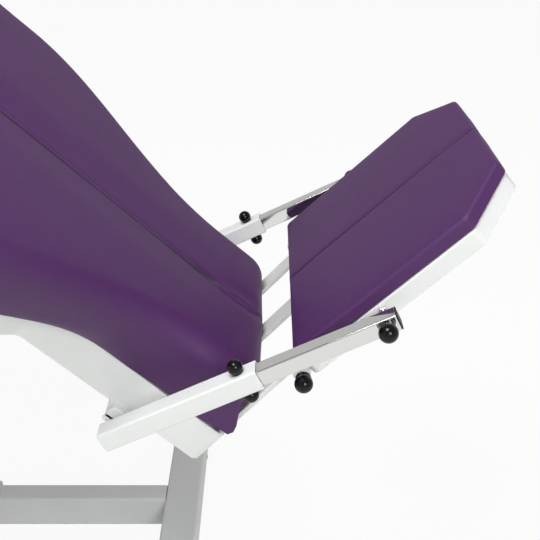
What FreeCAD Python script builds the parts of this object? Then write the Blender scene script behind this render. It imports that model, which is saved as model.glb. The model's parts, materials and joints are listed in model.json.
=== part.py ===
import FreeCAD, Part
import math
import os
import re
import Sketcher

# Motorized tilt table: a padded top that tips about a cross shaft on a two-post base, driven by
# a linear actuator, with a hinged and braced footplate at its foot end.
# Lengths are millimetres and angles are degrees. +X points to the foot end, +Y to the far side
# and +Z up. The part is shown at its rest tilt, and the origin is on the floor below its middle.

SIZES = [
    ("rest_tilt", 43, "tilt of the top at rest, feet down"),
    ("pivot_height", 760, "tilt shaft above the floor"),
    ("pivot_shift", 46.595, "tilt shaft ahead of the middle of the whole length"),
    ("shaft_radius", 15, "tilt shaft"),
    ("running_gap", 0.05, "radial clearance of a pin that turns in its hole"),
    ("seat_gap", 0.3, "clearance between curved or soft faces of different pieces"),
    ("cushion_length", 1963, "main cushion, head to foot"),
    ("foot_reach", 582, "tilt shaft to the cushion's foot end"),
    ("ankle_half", 170, "half width of the cushion at the ankles"),
    ("torso_half", 345, "half width of the cushion at the torso"),
    ("ankle_length", 197, "narrow stretch of the cushion"),
    ("flare_length", 290, "stretch over which the cushion widens"),
    ("cushion_thick", 98, "main cushion with its crown"),
    ("cushion_edge", 45, "rounding of the cushion's top edge"),
    ("cushion_draw", 2, "how far the cushion's sides draw in at the board"),
    ("cushion_crown", 6, "rise of the cushion's top to its middle"),
    ("foot_corner", 30, "plan corner of the cushion's foot end"),
    ("head_corner", 110, "plan corner of the cushion's head end"),
    ("seam_depth", 10, "sewn channel along the middle of the cushion"),
    ("seam_half", 12, "half width of that channel"),
    ("seam_stop", 97, "plain stretch between the channel and the foot end"),
    ("board_thick", 6, "board under the cushion"),
    ("board_inset", 12, "board inside the cushion's edge"),
    ("frame_drop", 29, "tilt shaft to the underside of the top frame"),
    ("skirt_height", 57, "sheet skirt of the top frame"),
    ("skirt_sheet", 3, "sheet thickness of the skirt"),
    ("skirt_ahead", 11, "foot end sheet ahead of the cushion's foot end"),
    ("skirt_inset", 2, "skirt inside the cushion's side at the ankles"),
    ("skirt_ankle", 303, "straight stretch of the skirt at the ankles"),
    ("skirt_flare", 49, "angle of the flared stretch of the skirt"),
    ("skirt_inset_torso", 33, "skirt inside the cushion's side at the torso"),
    ("head_inset", 95, "head end sheet inside the cushion's head end"),
    ("beam_middle", 125, "middle of each main beam from the centre line"),
    ("beam_width", 30, "main beams"),
    ("beam_height", 50, "main beams"),
    ("beam_wall", 2, "wall of the main beams and cross members"),
    ("rib_width", 40, "cross members along the table"),
    ("rib_torso", 85, "tilt shaft to the cross member ahead of it"),
    ("rib_back", 850, "tilt shaft to the cross member behind the drive"),
    ("rib_head_inset", 86, "head end sheet to the cross member next to it"),
    ("lug_thick", 10, "plates that hang the top on the tilt shaft"),
    ("lug_length", 110, "those plates along the beams"),
    ("lug_round", 28, "round lower end of those plates"),
    ("arm_thick", 7, "flat arms that carry the footplate"),
    ("arm_width", 36, "flat arms"),
    ("arm_inset", 22, "middle of the outer arms inside the skirt's side"),
    ("arm_bolt_radius", 4, "bolts that hold the arms"),
    ("arm_bolt_pitch", 30, "two bolts of one arm"),
    ("heel_back", 4, "heel hinge behind the outer face of the foot end sheet"),
    ("heel_z", 243, "tilt shaft to the heel hinge, square to the table"),
    ("heel_rod_radius", 5, "heel hinge rod"),
    ("heel_eye_radius", 11, "eyes of the arms round the rod"),
    ("foot_lean", 3.8, "lean of the footplate from square at rest"),
    ("plate_half", 200, "half width of the footplate"),
    ("plate_heel", 12.5, "heel edge of the footplate above its hinge"),
    ("plate_length", 334, "footplate, heel to toe"),
    ("heel_cut", 7, "small corner cut at the heel"),
    ("toe_cut_side", 68, "corner cut at the toe, across"),
    ("toe_cut_length", 65, "corner cut at the toe, along"),
    ("tray_front", 17.5, "front face of the tray ahead of the hinge"),
    ("tray_thick", 24.5, "tray of the footplate"),
    ("tray_sheet", 2, "sheet of the tray"),
    ("ear_thick", 8, "ears of the tray on the hinge rod"),
    ("ear_half", 11, "half width of an ear"),
    ("pad_thick", 19.5, "pad of the footplate"),
    ("pad_bevel", 2.5, "bevel round the pad's face"),
    ("pad_bevel_rise", 2.5, "height of that bevel"),
    ("pad_crown", 1.5, "rise of the pad's face to its middle"),
    ("pad_crown_inset", 70, "stretch over which the face rises"),
    ("pad_seam_depth", 4, "sewn channel along the pad"),
    ("pad_seam_half", 5, "half width of that channel"),
    ("brace_clear", 30, "middle of each brace outside the footplate's side"),
    ("brace_foot_back", 129, "lower brace pivot behind the heel hinge"),
    ("brace_foot_z", 40, "tilt shaft to the lower brace pivot, square to the table"),
    ("brace_pin_z", 137, "upper brace pivot above the heel hinge"),
    ("brace_pin_x", 7, "upper brace pivot ahead of the heel hinge"),
    ("brace_outer", 28, "outer square tube"),
    ("brace_bore", 24, "bore of the outer tube"),
    ("brace_inner", 22, "inner square tube"),
    ("brace_inner_wall", 1.5, "wall of the inner tube"),
    ("brace_tail", 24, "outer tube past its pivot"),
    ("brace_outer_length", 222, "outer tube"),
    ("brace_inner_tail", 15, "inner tube past its pivot"),
    ("brace_inner_length", 290, "inner tube"),
    ("brace_pin_radius", 4, "brace pivots"),
    ("clamp_from_end", 23, "clamp knobs from the outer tube's end"),
    ("clamp_stud_radius", 3, "stud of a clamp knob"),
    ("plug_depth", 12, "end plug inside the inner tube"),
    ("plug_head", 2, "end plug outside the inner tube"),
    ("bracket_length", 43, "brace bracket along the table"),
    ("bracket_plate", 4, "plate of the brace bracket"),
    ("bracket_gap", 11, "washers between a brace bracket and its tube"),
    ("bracket_rise", 7, "brace bracket above its pivot"),
    ("bracket_fall", 18, "brace bracket below its pivot"),
    ("bolt_head_radius", 6.5, "heads and nuts of the brace and arm bolts"),
    ("bolt_head_height", 5, "heads and nuts of the brace and arm bolts"),
    ("clamp_knob_radius", 10, "ball of a clamp knob"),
    ("clamp_knob_neck", 8, "neck of a clamp knob"),
    ("clamp_knob_standoff", 8.5, "ball centre of a clamp knob from the tube"),
    ("knob_radius", 12, "ball of a pivot knob"),
    ("knob_neck_radius", 10.5, "neck of a pivot knob"),
    ("knob_standoff", 12.7, "ball centre of a pivot knob from the face that it clamps"),
    ("knob_bore_depth", 7, "threaded bore of a pivot knob"),
    ("drive_arm", 400, "tilt shaft to each end of the actuator"),
    ("drive_angle", 255, "direction from the shaft to the actuator's anchor"),
    ("drive_pin_radius", 8, "pins of the actuator"),
    ("drive_eye_radius", 15, "eyes of the actuator"),
    ("drive_eye_width", 30, "eyes of the actuator"),
    ("drive_tube_radius", 25, "outer tube of the actuator"),
    ("drive_tube_end", 430, "top of the outer tube from the lower pin"),
    ("drive_rod_radius", 12, "push rod"),
    ("drive_rod_length", 398, "push rod below the upper pin"),
    ("gearbox_height", 48, "gear housing of the actuator"),
    ("gearbox_start", 18, "gear housing above the lower pin"),
    ("gearbox_width", 62, "gear housing across"),
    ("motor_radius", 29, "drive motor"),
    ("motor_length", 135, "drive motor"),
    ("motor_offset", 58, "motor beside the actuator's tube"),
    ("cheek_gap", 17, "half the gap between the plates that hold an actuator eye"),
    ("cheek_thick", 8, "plates that hold an actuator eye"),
    ("cheek_half", 24, "half width of those plates"),
    ("post_middle", 70, "middle of each post from the centre line"),
    ("post_depth", 60, "post, along the table"),
    ("post_width", 40, "post, across"),
    ("tube_wall", 2.5, "wall of the base tubes"),
    ("block_half", 30, "half height and half length of the bearing block"),
    ("bush_wall", 3, "bush in the bearing block"),
    ("foot_plate_half", 75, "half length of the plate under a post"),
    ("foot_plate_thick", 8, "plate under a post"),
    ("base_height", 60, "base tubes"),
    ("base_clear", 50, "base tubes above the floor"),
    ("base_front", 400, "tilt shaft to the middle of the front bar"),
    ("base_back", 560, "tilt shaft to the middle of the back bar"),
    ("bar_half", 330, "half length of the bars"),
    ("bar_width", 60, "bars along the table"),
    ("cap_thick", 4, "end caps of the bars"),
    ("stand_inset", 35, "levelling feet from the bar ends"),
    ("stand_pad_radius", 25, "pads of the levelling feet"),
    ("stand_pad_height", 14, "pads of the levelling feet"),
    ("stand_stud_radius", 6, "studs of the levelling feet"),
    ("wheel_radius", 40, "transport wheels"),
    ("wheel_width", 26, "transport wheels"),
    ("wheel_hub_radius", 24, "hub inside the tyre"),
    ("wheel_axle_radius", 5, "axle of a transport wheel"),
    ("wheel_lift", 8, "transport wheels above the floor"),
    ("wheel_side", 200, "transport wheels from the centre line"),
    ("wheel_behind", 78, "wheel axle behind the middle of the back bar"),
    ("fork_plate", 4, "plates that hold a transport wheel"),
    ("fork_half", 14, "half height of those plates"),
    ("control_length", 210, "control box along the table"),
    ("control_half", 95, "half width of the control box"),
    ("control_height", 80, "control box"),
    ("control_wall", 2.5, "walls of the control box"),
    ("control_gap", 20, "control box ahead of the back bar"),
    ("lid_thick", 3, "lid of the control box"),
    ("coil_radius", 42, "mains transformer"),
    ("coil_height", 46, "mains transformer"),
    ("coil_bore_radius", 14, "bore of the transformer"),
    ("coil_gap", 5, "transformer from the front wall of the box"),
    ("circuit_gap", 7.5, "circuit board from the back wall of the box"),
    ("circuit_side_gap", 2.5, "circuit board from the side wall of the box"),
    ("standoff_radius", 2.5, "posts under the circuit board"),
    ("standoff_inset", 5, "those posts from the circuit board's edges"),
    ("circuit_length", 90, "circuit board"),
    ("circuit_thick", 1.6, "circuit board"),
    ("circuit_lift", 12, "circuit board above the floor of the box"),
    ("inlet_width", 28, "mains inlet"),
    ("inlet_height", 20, "mains inlet"),
    ("inlet_depth", 24, "mains inlet"),
    ("inlet_side", 45, "mains inlet from the centre line"),
    ("inlet_wall", 2.5, "wall of the mains inlet"),
    ("switch_side", 30, "mains switch from the centre line"),
    ("switch_depth", 14, "mains switch"),
    ("switch_width", 22, "mains switch"),
    ("switch_height", 30, "mains switch"),
    ("rocker_width", 14, "rocker of the mains switch"),
    ("rocker_height", 20, "rocker of the mains switch"),
    ("rocker_depth", 8, "rocker of the mains switch"),
    ("rocker_gap", 0.6, "clearance of the rocker at each side"),
    ("pedal_back", 330, "tilt shaft to the back of the pedal housing"),
    ("pedal_length", 190, "pedal housing along the table"),
    ("pedal_depth", 120, "pedal housing across"),
    ("pedal_height", 34, "pedal housing"),
    ("pedal_plate", 6, "pedals"),
    ("pedal_gap", 8, "gap round and between the pedals"),
    ("pedal_rise", 10, "pedals above their housing"),
    ("pedal_pin_radius", 2, "hinge pin of the pedals"),
    ("pedal_knuckle", 4, "half width of the posts that hold that pin"),
]

# Places that follow from the sizes, written as formulas of them.
PLACES = {
    "board_bottom": "frame_drop + skirt_height",
    "cushion_bottom": "board_bottom + board_thick",
    "head_end": "foot_reach - cushion_length",
    "skirt_foot": "foot_reach + skirt_ahead",
    "skirt_half": "ankle_half - skirt_inset",
    "skirt_bend": "skirt_foot - skirt_ankle",
    "skirt_torso": "torso_half - skirt_inset_torso",
    "skirt_head": "head_end + head_inset",
    "rib_head": "-(skirt_head + rib_head_inset)",
    "arm_spread": "skirt_half - arm_inset",
    "heel_x": "skirt_foot - heel_back",
    "brace_side": "plate_half + brace_clear",
    "brace_foot_x": "heel_x - brace_foot_back",
    "bracket_reach": "brace_side - brace_outer / 2 - bracket_gap",
    "flare_end": "skirt_bend - (skirt_torso - skirt_half) / tan(skirt_flare)",
    "mitre": "skirt_sheet * tan(skirt_flare / 2)",
    "beam_low": "board_bottom - beam_height",
    "beam_inside": "beam_middle - beam_width / 2",
    "beam_outside": "beam_middle + beam_width / 2",
    "arm_back": "skirt_foot - skirt_sheet",
    "heel_world_x": "pivot_shift + heel_x * cos(rest_tilt) + heel_z * sin(rest_tilt)",
    "heel_world_z": "pivot_height - heel_x * sin(rest_tilt) + heel_z * cos(rest_tilt)",
    "pin_x": "heel_x - brace_pin_x * cos(foot_lean) + brace_pin_z * sin(foot_lean)",
    "pin_z": "heel_z + brace_pin_x * sin(foot_lean) + brace_pin_z * cos(foot_lean)",
    "brace_run": "pin_x - brace_foot_x",
    "brace_rise": "pin_z - brace_foot_z",
    "brace_length": "sqrt(brace_run * brace_run + brace_rise * brace_rise)",
    "brace_lean": "atan(brace_run / brace_rise)",
    "brace_world_x": "pivot_shift + brace_foot_x * cos(rest_tilt) + brace_foot_z * sin(rest_tilt)",
    "brace_world_z": "pivot_height - brace_foot_x * sin(rest_tilt) + brace_foot_z * cos(rest_tilt)",
    "clamp_at": "brace_outer_length - brace_tail - clamp_from_end",
    "tube_top": "brace_length + brace_inner_tail",
    "anchor_x": "pivot_shift + drive_arm * cos(drive_angle)",
    "anchor_z": "pivot_height + drive_arm * sin(drive_angle)",
    "drive_lean": "90 - (drive_angle - rest_tilt) / 2",
    "drive_length": "2 * drive_arm * sin((drive_angle - 180 + rest_tilt) / 2)",
    "base_top": "base_clear + base_height",
    "front_bar": "pivot_shift + base_front",
    "back_bar": "pivot_shift - base_back",
    "control_low": "base_top + seat_gap",
    "control_x": "back_bar + bar_width / 2 + control_gap",
    "post_inside": "post_middle - post_width / 2",
    "post_outside": "post_middle + post_width / 2",
    "post_low": "base_top + foot_plate_thick",
    "post_top": "pivot_height - block_half",
    "wheel_x": "back_bar - wheel_behind",
    "wheel_z": "wheel_lift + wheel_radius",
    "pedal_x": "pivot_shift - pedal_back",
    "pedal_low": "base_top - pedal_height",
    "pedal_top": "base_top + pedal_rise",
    "pedal_width": "(pedal_length - 3 * pedal_gap) / 2",
}

doc = FreeCAD.newDocument("TiltTable")
sheet = doc.addObject("Spreadsheet::Sheet", "Sizes")
for row, (alias, number, note) in enumerate(SIZES, start=1):
    sheet.set(f"A{row}", note)
    sheet.set(f"B{row}", str(number))
    sheet.setAlias(f"B{row}", alias)
doc.recompute()

ALIASES = {alias for alias, number, note in SIZES}
WORD = re.compile(r"[A-Za-z_][A-Za-z_0-9]*")
AXES = {"x": FreeCAD.Vector(1, 0, 0), "y": FreeCAD.Vector(0, 1, 0), "z": FreeCAD.Vector(0, 0, 1)}
nodes = []


def formula(text):
    """Spells out a formula of sizes and places with the sheet's cells."""
    def spell(match):
        word = match.group(0)
        if word in PLACES:
            return "(" + formula(PLACES[word]) + ")"
        return "Sizes." + word if word in ALIASES else word
    return WORD.sub(spell, str(text))


def size(text):
    """The number that a formula gives now."""
    return float(sheet.evalExpression(formula(text)))


def bind(item, **formulas):
    """Binds properties of an object to formulas."""
    for prop, text in formulas.items():
        item.setExpression(prop.replace("__", "."), formula(text))
    return item


def put(item, at, turn=None, axis="y"):
    """Places an object at three formulas, turned about an axis by a formula in degrees."""
    if turn is not None:
        item.Placement = FreeCAD.Placement(FreeCAD.Vector(), FreeCAD.Rotation(AXES[axis], 1))
        bind(item, Placement__Rotation__Angle=turn)
    return bind(item, Placement__Base__x=at[0], Placement__Base__y=at[1], Placement__Base__z=at[2])


def box(low, high):
    """A box between two corners, each of three formulas."""
    item = doc.addObject("Part::Box", "Box")
    spans = [f"({top}) - ({bottom})" for bottom, top in zip(low, high)]
    bind(item, Length=spans[0], Width=spans[1], Height=spans[2])
    return put(item, low)


def rod(radius, at, length, axis="z"):
    """A round bar from a point along an axis."""
    item = doc.addObject("Part::Cylinder", "Rod")
    bind(item, Radius=radius, Height=length)
    turns = {"z": (None, "y"), "x": ("90", "y"), "y": ("-90", "x")}
    return put(item, at, *turns[axis])


def across(radius, x, z, half):
    """A round bar across the table, half a length to each side of the centre line."""
    return rod(radius, (x, f"-({half})", z), f"2 * ({half})", "y")


def ball(radius, at, turn=None):
    """A ball about a point, turned about +Z so that its seam stays clear of what joins it."""
    return put(bind(doc.addObject("Part::Sphere", "Ball"), Radius=radius), at, turn, "z")


def cut(base, *tools):
    """Takes tools away from a solid."""
    for tool in tools:
        item = doc.addObject("Part::Cut", "Cut")
        item.Base, item.Tool = base, tool
        base = item
    return base


def fuse(*solids):
    """Joins solids into one."""
    item = doc.addObject("Part::MultiFuse", "Fuse")
    item.Shapes = list(solids)
    return item


def plate(points, low, thick, plane="XY"):
    """A flat plate with a straight-sided outline, padded square to one of the origin planes.

    Each corner is two formulas along the plane's own axes: x and y, x and z, or y and z. The
    plate starts at the formula low along the plane's normal and has the given thickness. The
    XZ plane's normal points to -Y.
    """
    body = doc.addObject("PartDesign::Body", "Plate")
    sketch = body.newObject("Sketcher::SketchObject", "Outline")
    origin = [f for f in body.Origin.OriginFeatures if f.Role == plane + "_Plane"][0]
    sketch.AttachmentSupport = [(origin, "")]
    sketch.MapMode = "FlatFace"
    corners = [FreeCAD.Vector(size(first), size(second), 0) for first, second in points]
    for start, end in zip(corners, corners[1:] + corners[:1]):
        sketch.addGeometry(Part.LineSegment(start, end))
    for index, (first, second) in enumerate(points):
        before = (index - 1) % len(points)
        sketch.addConstraint(Sketcher.Constraint("Coincident", before, 2, index, 1))
        for kind, text in (("DistanceX", first), ("DistanceY", second)):
            number = sketch.addConstraint(Sketcher.Constraint(kind, -1, 1, index, 1, size(text)))
            sketch.setExpression(f"Constraints[{number}]", formula(text))
    bind(sketch, AttachmentOffset__Base__z=low)
    pad = body.newObject("PartDesign::Pad", "Pad")
    pad.Profile = sketch
    bind(pad, Length=thick)
    return body


# Frames of the assembly: where each sub-part's own origin stands, and its turn about +Y.
FRAMES = {
    "base": ("0", "0", None),
    "table": ("pivot_shift", "pivot_height", "rest_tilt"),
    "foot": ("heel_world_x", "heel_world_z", "rest_tilt + foot_lean"),
    "brace": ("brace_world_x", "brace_world_z", "rest_tilt + brace_lean / 1 deg"),
    "drive": ("anchor_x", "anchor_z", "drive_lean"),
}


def node(label, frame, *solids):
    """Makes one named sub-part from its solids, in one of the frames."""
    item = doc.addObject("Part::Compound", "Node")
    item.Links = list(solids)
    item.Label = label
    x, z, turn = FRAMES[frame]
    put(item, (x, "0", z), turn)
    nodes.append(item)
    return item


def shaped(label, frame, shape):
    """Makes one named sub-part from a lofted shape, in one of the frames."""
    item = doc.addObject("Part::Feature", "Node")
    item.Shape = shape
    item.Label = label
    x, z, turn = FRAMES[frame]
    put(item, (x, "0", z), turn)
    nodes.append(item)
    return item


def both(build):
    """Calls a builder for the near side, at -Y, and the far side, at +Y."""
    for name, sign in (("near", "-1"), ("far", "1")):
        build(name, sign)


def span(sign, inner, outer):
    """Low and high formulas of a stretch across the table on the side that sign gives."""
    near, far = f"-({outer})", f"-({inner})"
    return (near, far) if sign == "-1" else (inner, outer)


def pin_stretch(radius, sign, place, inner, outer):
    """A round stretch of a pin across the table, on the side that sign gives."""
    low_y, high_y = span(sign, inner, outer)
    return rod(radius, (place[0], low_y, place[1]), f"({high_y}) - ({low_y})", "y")


def bar_tube(low, high, wall, along):
    """A rectangular tube between two corners, open along one axis."""
    def inside(index, corner, step):
        return corner[index] if "xyz"[index] == along else f"{corner[index]} {step} {wall}"
    bore_low = [inside(index, low, "+") for index in range(3)]
    bore_high = [inside(index, high, "-") for index in range(3)]
    return cut(box(low, high), box(bore_low, bore_high))


# Base: two bars joined by two rails, on levelling feet, with two posts

def base_bar(middle):
    low = (f"{middle} - bar_width / 2", "-bar_half", "base_clear")
    high = (f"{middle} + bar_width / 2", "bar_half", "base_top")
    return bar_tube(low, high, "tube_wall", "y")


node("base_bars", "base", base_bar("front_bar"), base_bar("back_bar"))


def rail(sign):
    low_y, high_y = span(sign, "post_inside", "post_outside")
    return bar_tube(("back_bar + bar_width / 2", low_y, "base_clear"),
                    ("front_bar - bar_width / 2", high_y, "base_top"), "tube_wall", "x")


node("base_rails", "base", rail("-1"), rail("1"))


def post(sign):
    low_y, high_y = span(sign, "post_inside", "post_outside")
    return bar_tube(("pivot_shift - post_depth / 2", low_y, "post_low"),
                    ("pivot_shift + post_depth / 2", high_y, "post_top"), "tube_wall", "z")


def post_foot(sign):
    low_y, high_y = span(sign, "post_inside", "post_outside")
    return box(("pivot_shift - foot_plate_half", low_y, "base_top"),
               ("pivot_shift + foot_plate_half", high_y, "post_low"))


def post_gusset(sign, way):
    low_y, high_y = span(sign, "post_middle - foot_plate_thick / 2", "post_middle + foot_plate_thick / 2")
    face = f"pivot_shift {way} post_depth / 2"
    tip = f"pivot_shift {way} foot_plate_half"
    corners = [(face, "post_low"), (tip, "post_low"), (face, "post_low + 2 * foot_plate_half")]
    return plate(corners, f"-({high_y})", f"({high_y}) - ({low_y})", "XZ")


node("posts", "base", post("-1"), post("1"))
gussets = [post_gusset(sign, way) for sign in ("-1", "1") for way in "+-"]
node("post_feet", "base", post_foot("-1"), post_foot("1"), *gussets)


BUSH_RADIUS = "shaft_radius + running_gap + bush_wall"


def bearing_block(sign):
    low_y, high_y = span(sign, "post_inside", "post_outside")
    block = box(("pivot_shift - block_half", low_y, "post_top"),
                ("pivot_shift + block_half", high_y, "pivot_height + block_half"))
    return cut(block, across(BUSH_RADIUS, "pivot_shift", "pivot_height", "post_outside"))


def bush(sign):
    low_y, high_y = span(sign, "post_inside", "post_outside")
    sleeve = rod(BUSH_RADIUS, ("pivot_shift", low_y, "pivot_height"), "post_width", "y")
    return cut(sleeve, across("shaft_radius + running_gap", "pivot_shift", "pivot_height", "post_outside"))


node("bearing_blocks", "base", bearing_block("-1"), bearing_block("1"))
node("bearing_bushes", "base", bush("-1"), bush("1"))


def anchor_plate(sign):
    low_y, high_y = span(sign, "post_inside - cheek_thick", "post_inside")
    cheek = box(("anchor_x - cheek_half", low_y, "anchor_z - cheek_half"),
                ("pivot_shift + post_depth / 2", high_y, "anchor_z + cheek_half"))
    return cut(cheek, across("drive_pin_radius", "anchor_x", "anchor_z", "post_outside"))


node("anchor_plates", "base", anchor_plate("-1"), anchor_plate("1"))
node("lower_drive_pin", "base", across("drive_pin_radius", "anchor_x", "anchor_z", "post_inside"))

STAND_PLACES = [(bar, side) for bar in ("front_bar", "back_bar")
                for side in ("stand_inset - bar_half", "bar_half - stand_inset")]


def stand_pad(x, y):
    return rod("stand_pad_radius", (x, y, "0"), "stand_pad_height")


def stand_stud(x, y):
    return rod("stand_stud_radius", (x, y, "stand_pad_height"), "base_clear - stand_pad_height")


node("foot_pads", "base", *[stand_pad(x, y) for x, y in STAND_PLACES])
node("foot_studs", "base", *[stand_stud(x, y) for x, y in STAND_PLACES])


def bar_cap(middle, sign):
    low_y, high_y = span(sign, "bar_half", "bar_half + cap_thick")
    return box((f"{middle} - bar_width / 2", low_y, "base_clear"),
               (f"{middle} + bar_width / 2", high_y, "base_top"))


CAP_PLACES = [(bar, sign) for bar in ("front_bar", "back_bar") for sign in ("-1", "1")]
node("bar_caps", "base", *[bar_cap(middle, sign) for middle, sign in CAP_PLACES])

# Transport wheels, which touch the floor only when the base is tipped on to them

FORK_INSIDE = "(wheel_width / 2 + 2 * seat_gap)"
FORK_OUTSIDE = "(wheel_width / 2 + 2 * seat_gap + fork_plate)"


def fork_plate(sign, inner, outer):
    """A plate beside a wheel, with the hole for its axle."""
    low_y, high_y = span(sign, inner, outer)
    cheek = box(("wheel_x - fork_half", low_y, "wheel_z - fork_half"),
                ("back_bar - bar_width / 2", high_y, "base_clear + base_height / 2"))
    return cut(cheek, across("wheel_axle_radius", "wheel_x", "wheel_z", "bar_half"))


def wheel_fork(sign):
    return [fork_plate(sign, f"wheel_side + {FORK_INSIDE}", f"wheel_side + {FORK_OUTSIDE}"),
            fork_plate(sign, f"wheel_side - {FORK_OUTSIDE}", f"wheel_side - {FORK_INSIDE}")]


def wheel_axle(sign):
    low_y, high_y = span(sign, f"wheel_side - {FORK_OUTSIDE}", f"wheel_side + {FORK_OUTSIDE}")
    return rod("wheel_axle_radius", ("wheel_x", low_y, "wheel_z"), f"2 * {FORK_OUTSIDE}", "y")


node("wheel_forks", "base", *wheel_fork("-1"), *wheel_fork("1"), wheel_axle("-1"), wheel_axle("1"))


def transport_wheel(name, sign):
    low_y, high_y = span(sign, "wheel_side - wheel_width / 2", "wheel_side + wheel_width / 2")
    start = ("wheel_x", low_y, "wheel_z")
    hub = cut(rod("wheel_hub_radius", start, "wheel_width", "y"),
              across("wheel_axle_radius + running_gap", "wheel_x", "wheel_z", "bar_half"))
    tyre = cut(rod("wheel_radius", start, "wheel_width", "y"),
               rod("wheel_hub_radius", start, "wheel_width", "y"))
    node(f"transport_wheel_{name}", "base", hub, tyre)


both(transport_wheel)

# Control box on the rails, with its mains parts

BOX_LOW = ("control_x", "-control_half", "control_low")
BOX_HIGH = ("control_x + control_length", "control_half", "control_low + control_height")
inside_low = [f"{corner} + control_wall" for corner in BOX_LOW]
inside_high = ("control_x + control_length - control_wall", "control_half - control_wall", BOX_HIGH[2])
node("control_box", "base", cut(box(BOX_LOW, BOX_HIGH), box(inside_low, inside_high)))
node("control_lid", "base", box((BOX_LOW[0], BOX_LOW[1], BOX_HIGH[2]),
                                (BOX_HIGH[0], BOX_HIGH[1], f"{BOX_HIGH[2]} + lid_thick")))


def block(side, width, height, back, front):
    """A block behind the control box, between two distances from its back wall."""
    middle = "control_low + control_height / 2"
    return box((f"control_x - ({back})", f"{side} - ({width}) / 2", f"{middle} - ({height}) / 2"),
               (f"control_x - ({front})", f"{side} + ({width}) / 2", f"{middle} + ({height}) / 2"))


inlet_body = block("inlet_side", "inlet_width", "inlet_height", "inlet_depth", "0")
inlet_recess = block("inlet_side", "inlet_width - 2 * inlet_wall", "inlet_height - 2 * inlet_wall",
                     "inlet_depth", "inlet_wall")
node("mains_inlet", "base", cut(inlet_body, inlet_recess))
switch_body = block("-switch_side", "switch_width", "switch_height", "switch_depth", "0")
switch_recess = block("-switch_side", "rocker_width + 2 * rocker_gap", "rocker_height + 4 * rocker_gap",
                      "switch_depth", "switch_depth - rocker_depth")
node("mains_switch", "base", cut(switch_body, switch_recess))
node("mains_rocker", "base", block("-switch_side", "rocker_width", "rocker_height",
                                   "switch_depth + rocker_depth / 2", "switch_depth - rocker_depth / 2"))

BOX_FLOOR = "control_low + control_wall"
COIL_AT = ("control_x + control_length - control_wall - coil_gap - coil_radius", "-control_half / 2",
           BOX_FLOOR)
node("transformer", "base", cut(rod("coil_radius", COIL_AT, "coil_height"),
                                rod("coil_bore_radius", COIL_AT, "coil_height")))
CIRCUIT_X = "control_x + control_wall + circuit_gap"
CIRCUIT_SIDE = "control_half - control_wall - circuit_side_gap"
circuit = box((CIRCUIT_X, "0", f"{BOX_FLOOR} + circuit_lift"),
              (f"{CIRCUIT_X} + circuit_length", CIRCUIT_SIDE, f"{BOX_FLOOR} + circuit_lift + circuit_thick"))


def standoff(along, side):
    return rod("standoff_radius", (f"{CIRCUIT_X} + {along}", side, BOX_FLOOR), "circuit_lift")


standoffs = [standoff(along, side) for along in ("standoff_inset", "circuit_length - standoff_inset")
             for side in ("standoff_inset", f"{CIRCUIT_SIDE} - standoff_inset")]
node("control_circuit", "base", circuit, *standoffs)

# Pedal unit on the near rail, with a pedal for each direction

PEDAL_PIN_Z = "pedal_top + pedal_plate / 2"
PEDAL_PIN_Y = "-post_outside - pedal_gap - pedal_knuckle"
HOUSING_NEAR = "-post_outside - pedal_depth"
node("pedal_housing", "base", box(("pedal_x", HOUSING_NEAR, "pedal_low"),
                                  ("pedal_x + pedal_length", "-post_outside", "base_top")))


def pedal_pin(radius):
    return rod(radius, ("pedal_x", PEDAL_PIN_Y, PEDAL_PIN_Z), "pedal_length", "x")


def pedal_post(x):
    knuckle = box((x, f"{PEDAL_PIN_Y} - pedal_knuckle", "base_top"),
                  (f"{x} + pedal_gap - 2 * seat_gap", f"{PEDAL_PIN_Y} + pedal_knuckle",
                   "pedal_top + pedal_plate"))
    return cut(knuckle, pedal_pin("pedal_pin_radius"))


post_starts = ["pedal_x + seat_gap", "pedal_x + pedal_gap + pedal_width + seat_gap",
               "pedal_x + 2 * pedal_gap + 2 * pedal_width + seat_gap"]
node("pedal_pivots", "base", *[pedal_post(x) for x in post_starts], pedal_pin("pedal_pin_radius"))


def pedal(label, x):
    tread = box((x, f"{HOUSING_NEAR} + pedal_gap", "pedal_top"),
                (f"{x} + pedal_width", f"{PEDAL_PIN_Y} + pedal_knuckle", "pedal_top + pedal_plate"))
    node(label, "base", cut(tread, pedal_pin("pedal_pin_radius + running_gap")))


pedal("pedal_up", "pedal_x + pedal_gap")
pedal("pedal_down", "pedal_x + 2 * pedal_gap + pedal_width")

# Top frame: two beams with cross members, inside a skirt of folded sheet

def beam(sign):
    low_y, high_y = span(sign, "beam_inside", "beam_outside")
    return bar_tube(("skirt_head + skirt_sheet", low_y, "beam_low"),
                    ("arm_back - arm_thick", high_y, "board_bottom"), "beam_wall", "x")


node("main_beams", "table", beam("-1"), beam("1"))


def rib(middle, outer):
    """A cross member: one piece between the beams and one outside each."""
    stretches = [("-beam_inside", "beam_inside"), span("1", "beam_outside", outer),
                 span("-1", "beam_outside", outer)]
    return [bar_tube((f"{middle} - rib_width / 2", low_y, "beam_low"),
                     (f"{middle} + rib_width / 2", high_y, "board_bottom"), "beam_wall", "y")
            for low_y, high_y in stretches]


TORSO_RIBS = ["-rib_torso", "-drive_arm", "-rib_back", "-rib_head"]
FOOT_RIB = "arm_back - arm_thick - rib_width"
torso_pieces = [piece for middle in TORSO_RIBS for piece in rib(middle, "skirt_torso - skirt_sheet")]
node("cross_members", "table", *torso_pieces, *rib(FOOT_RIB, "skirt_half - skirt_sheet"))


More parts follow.
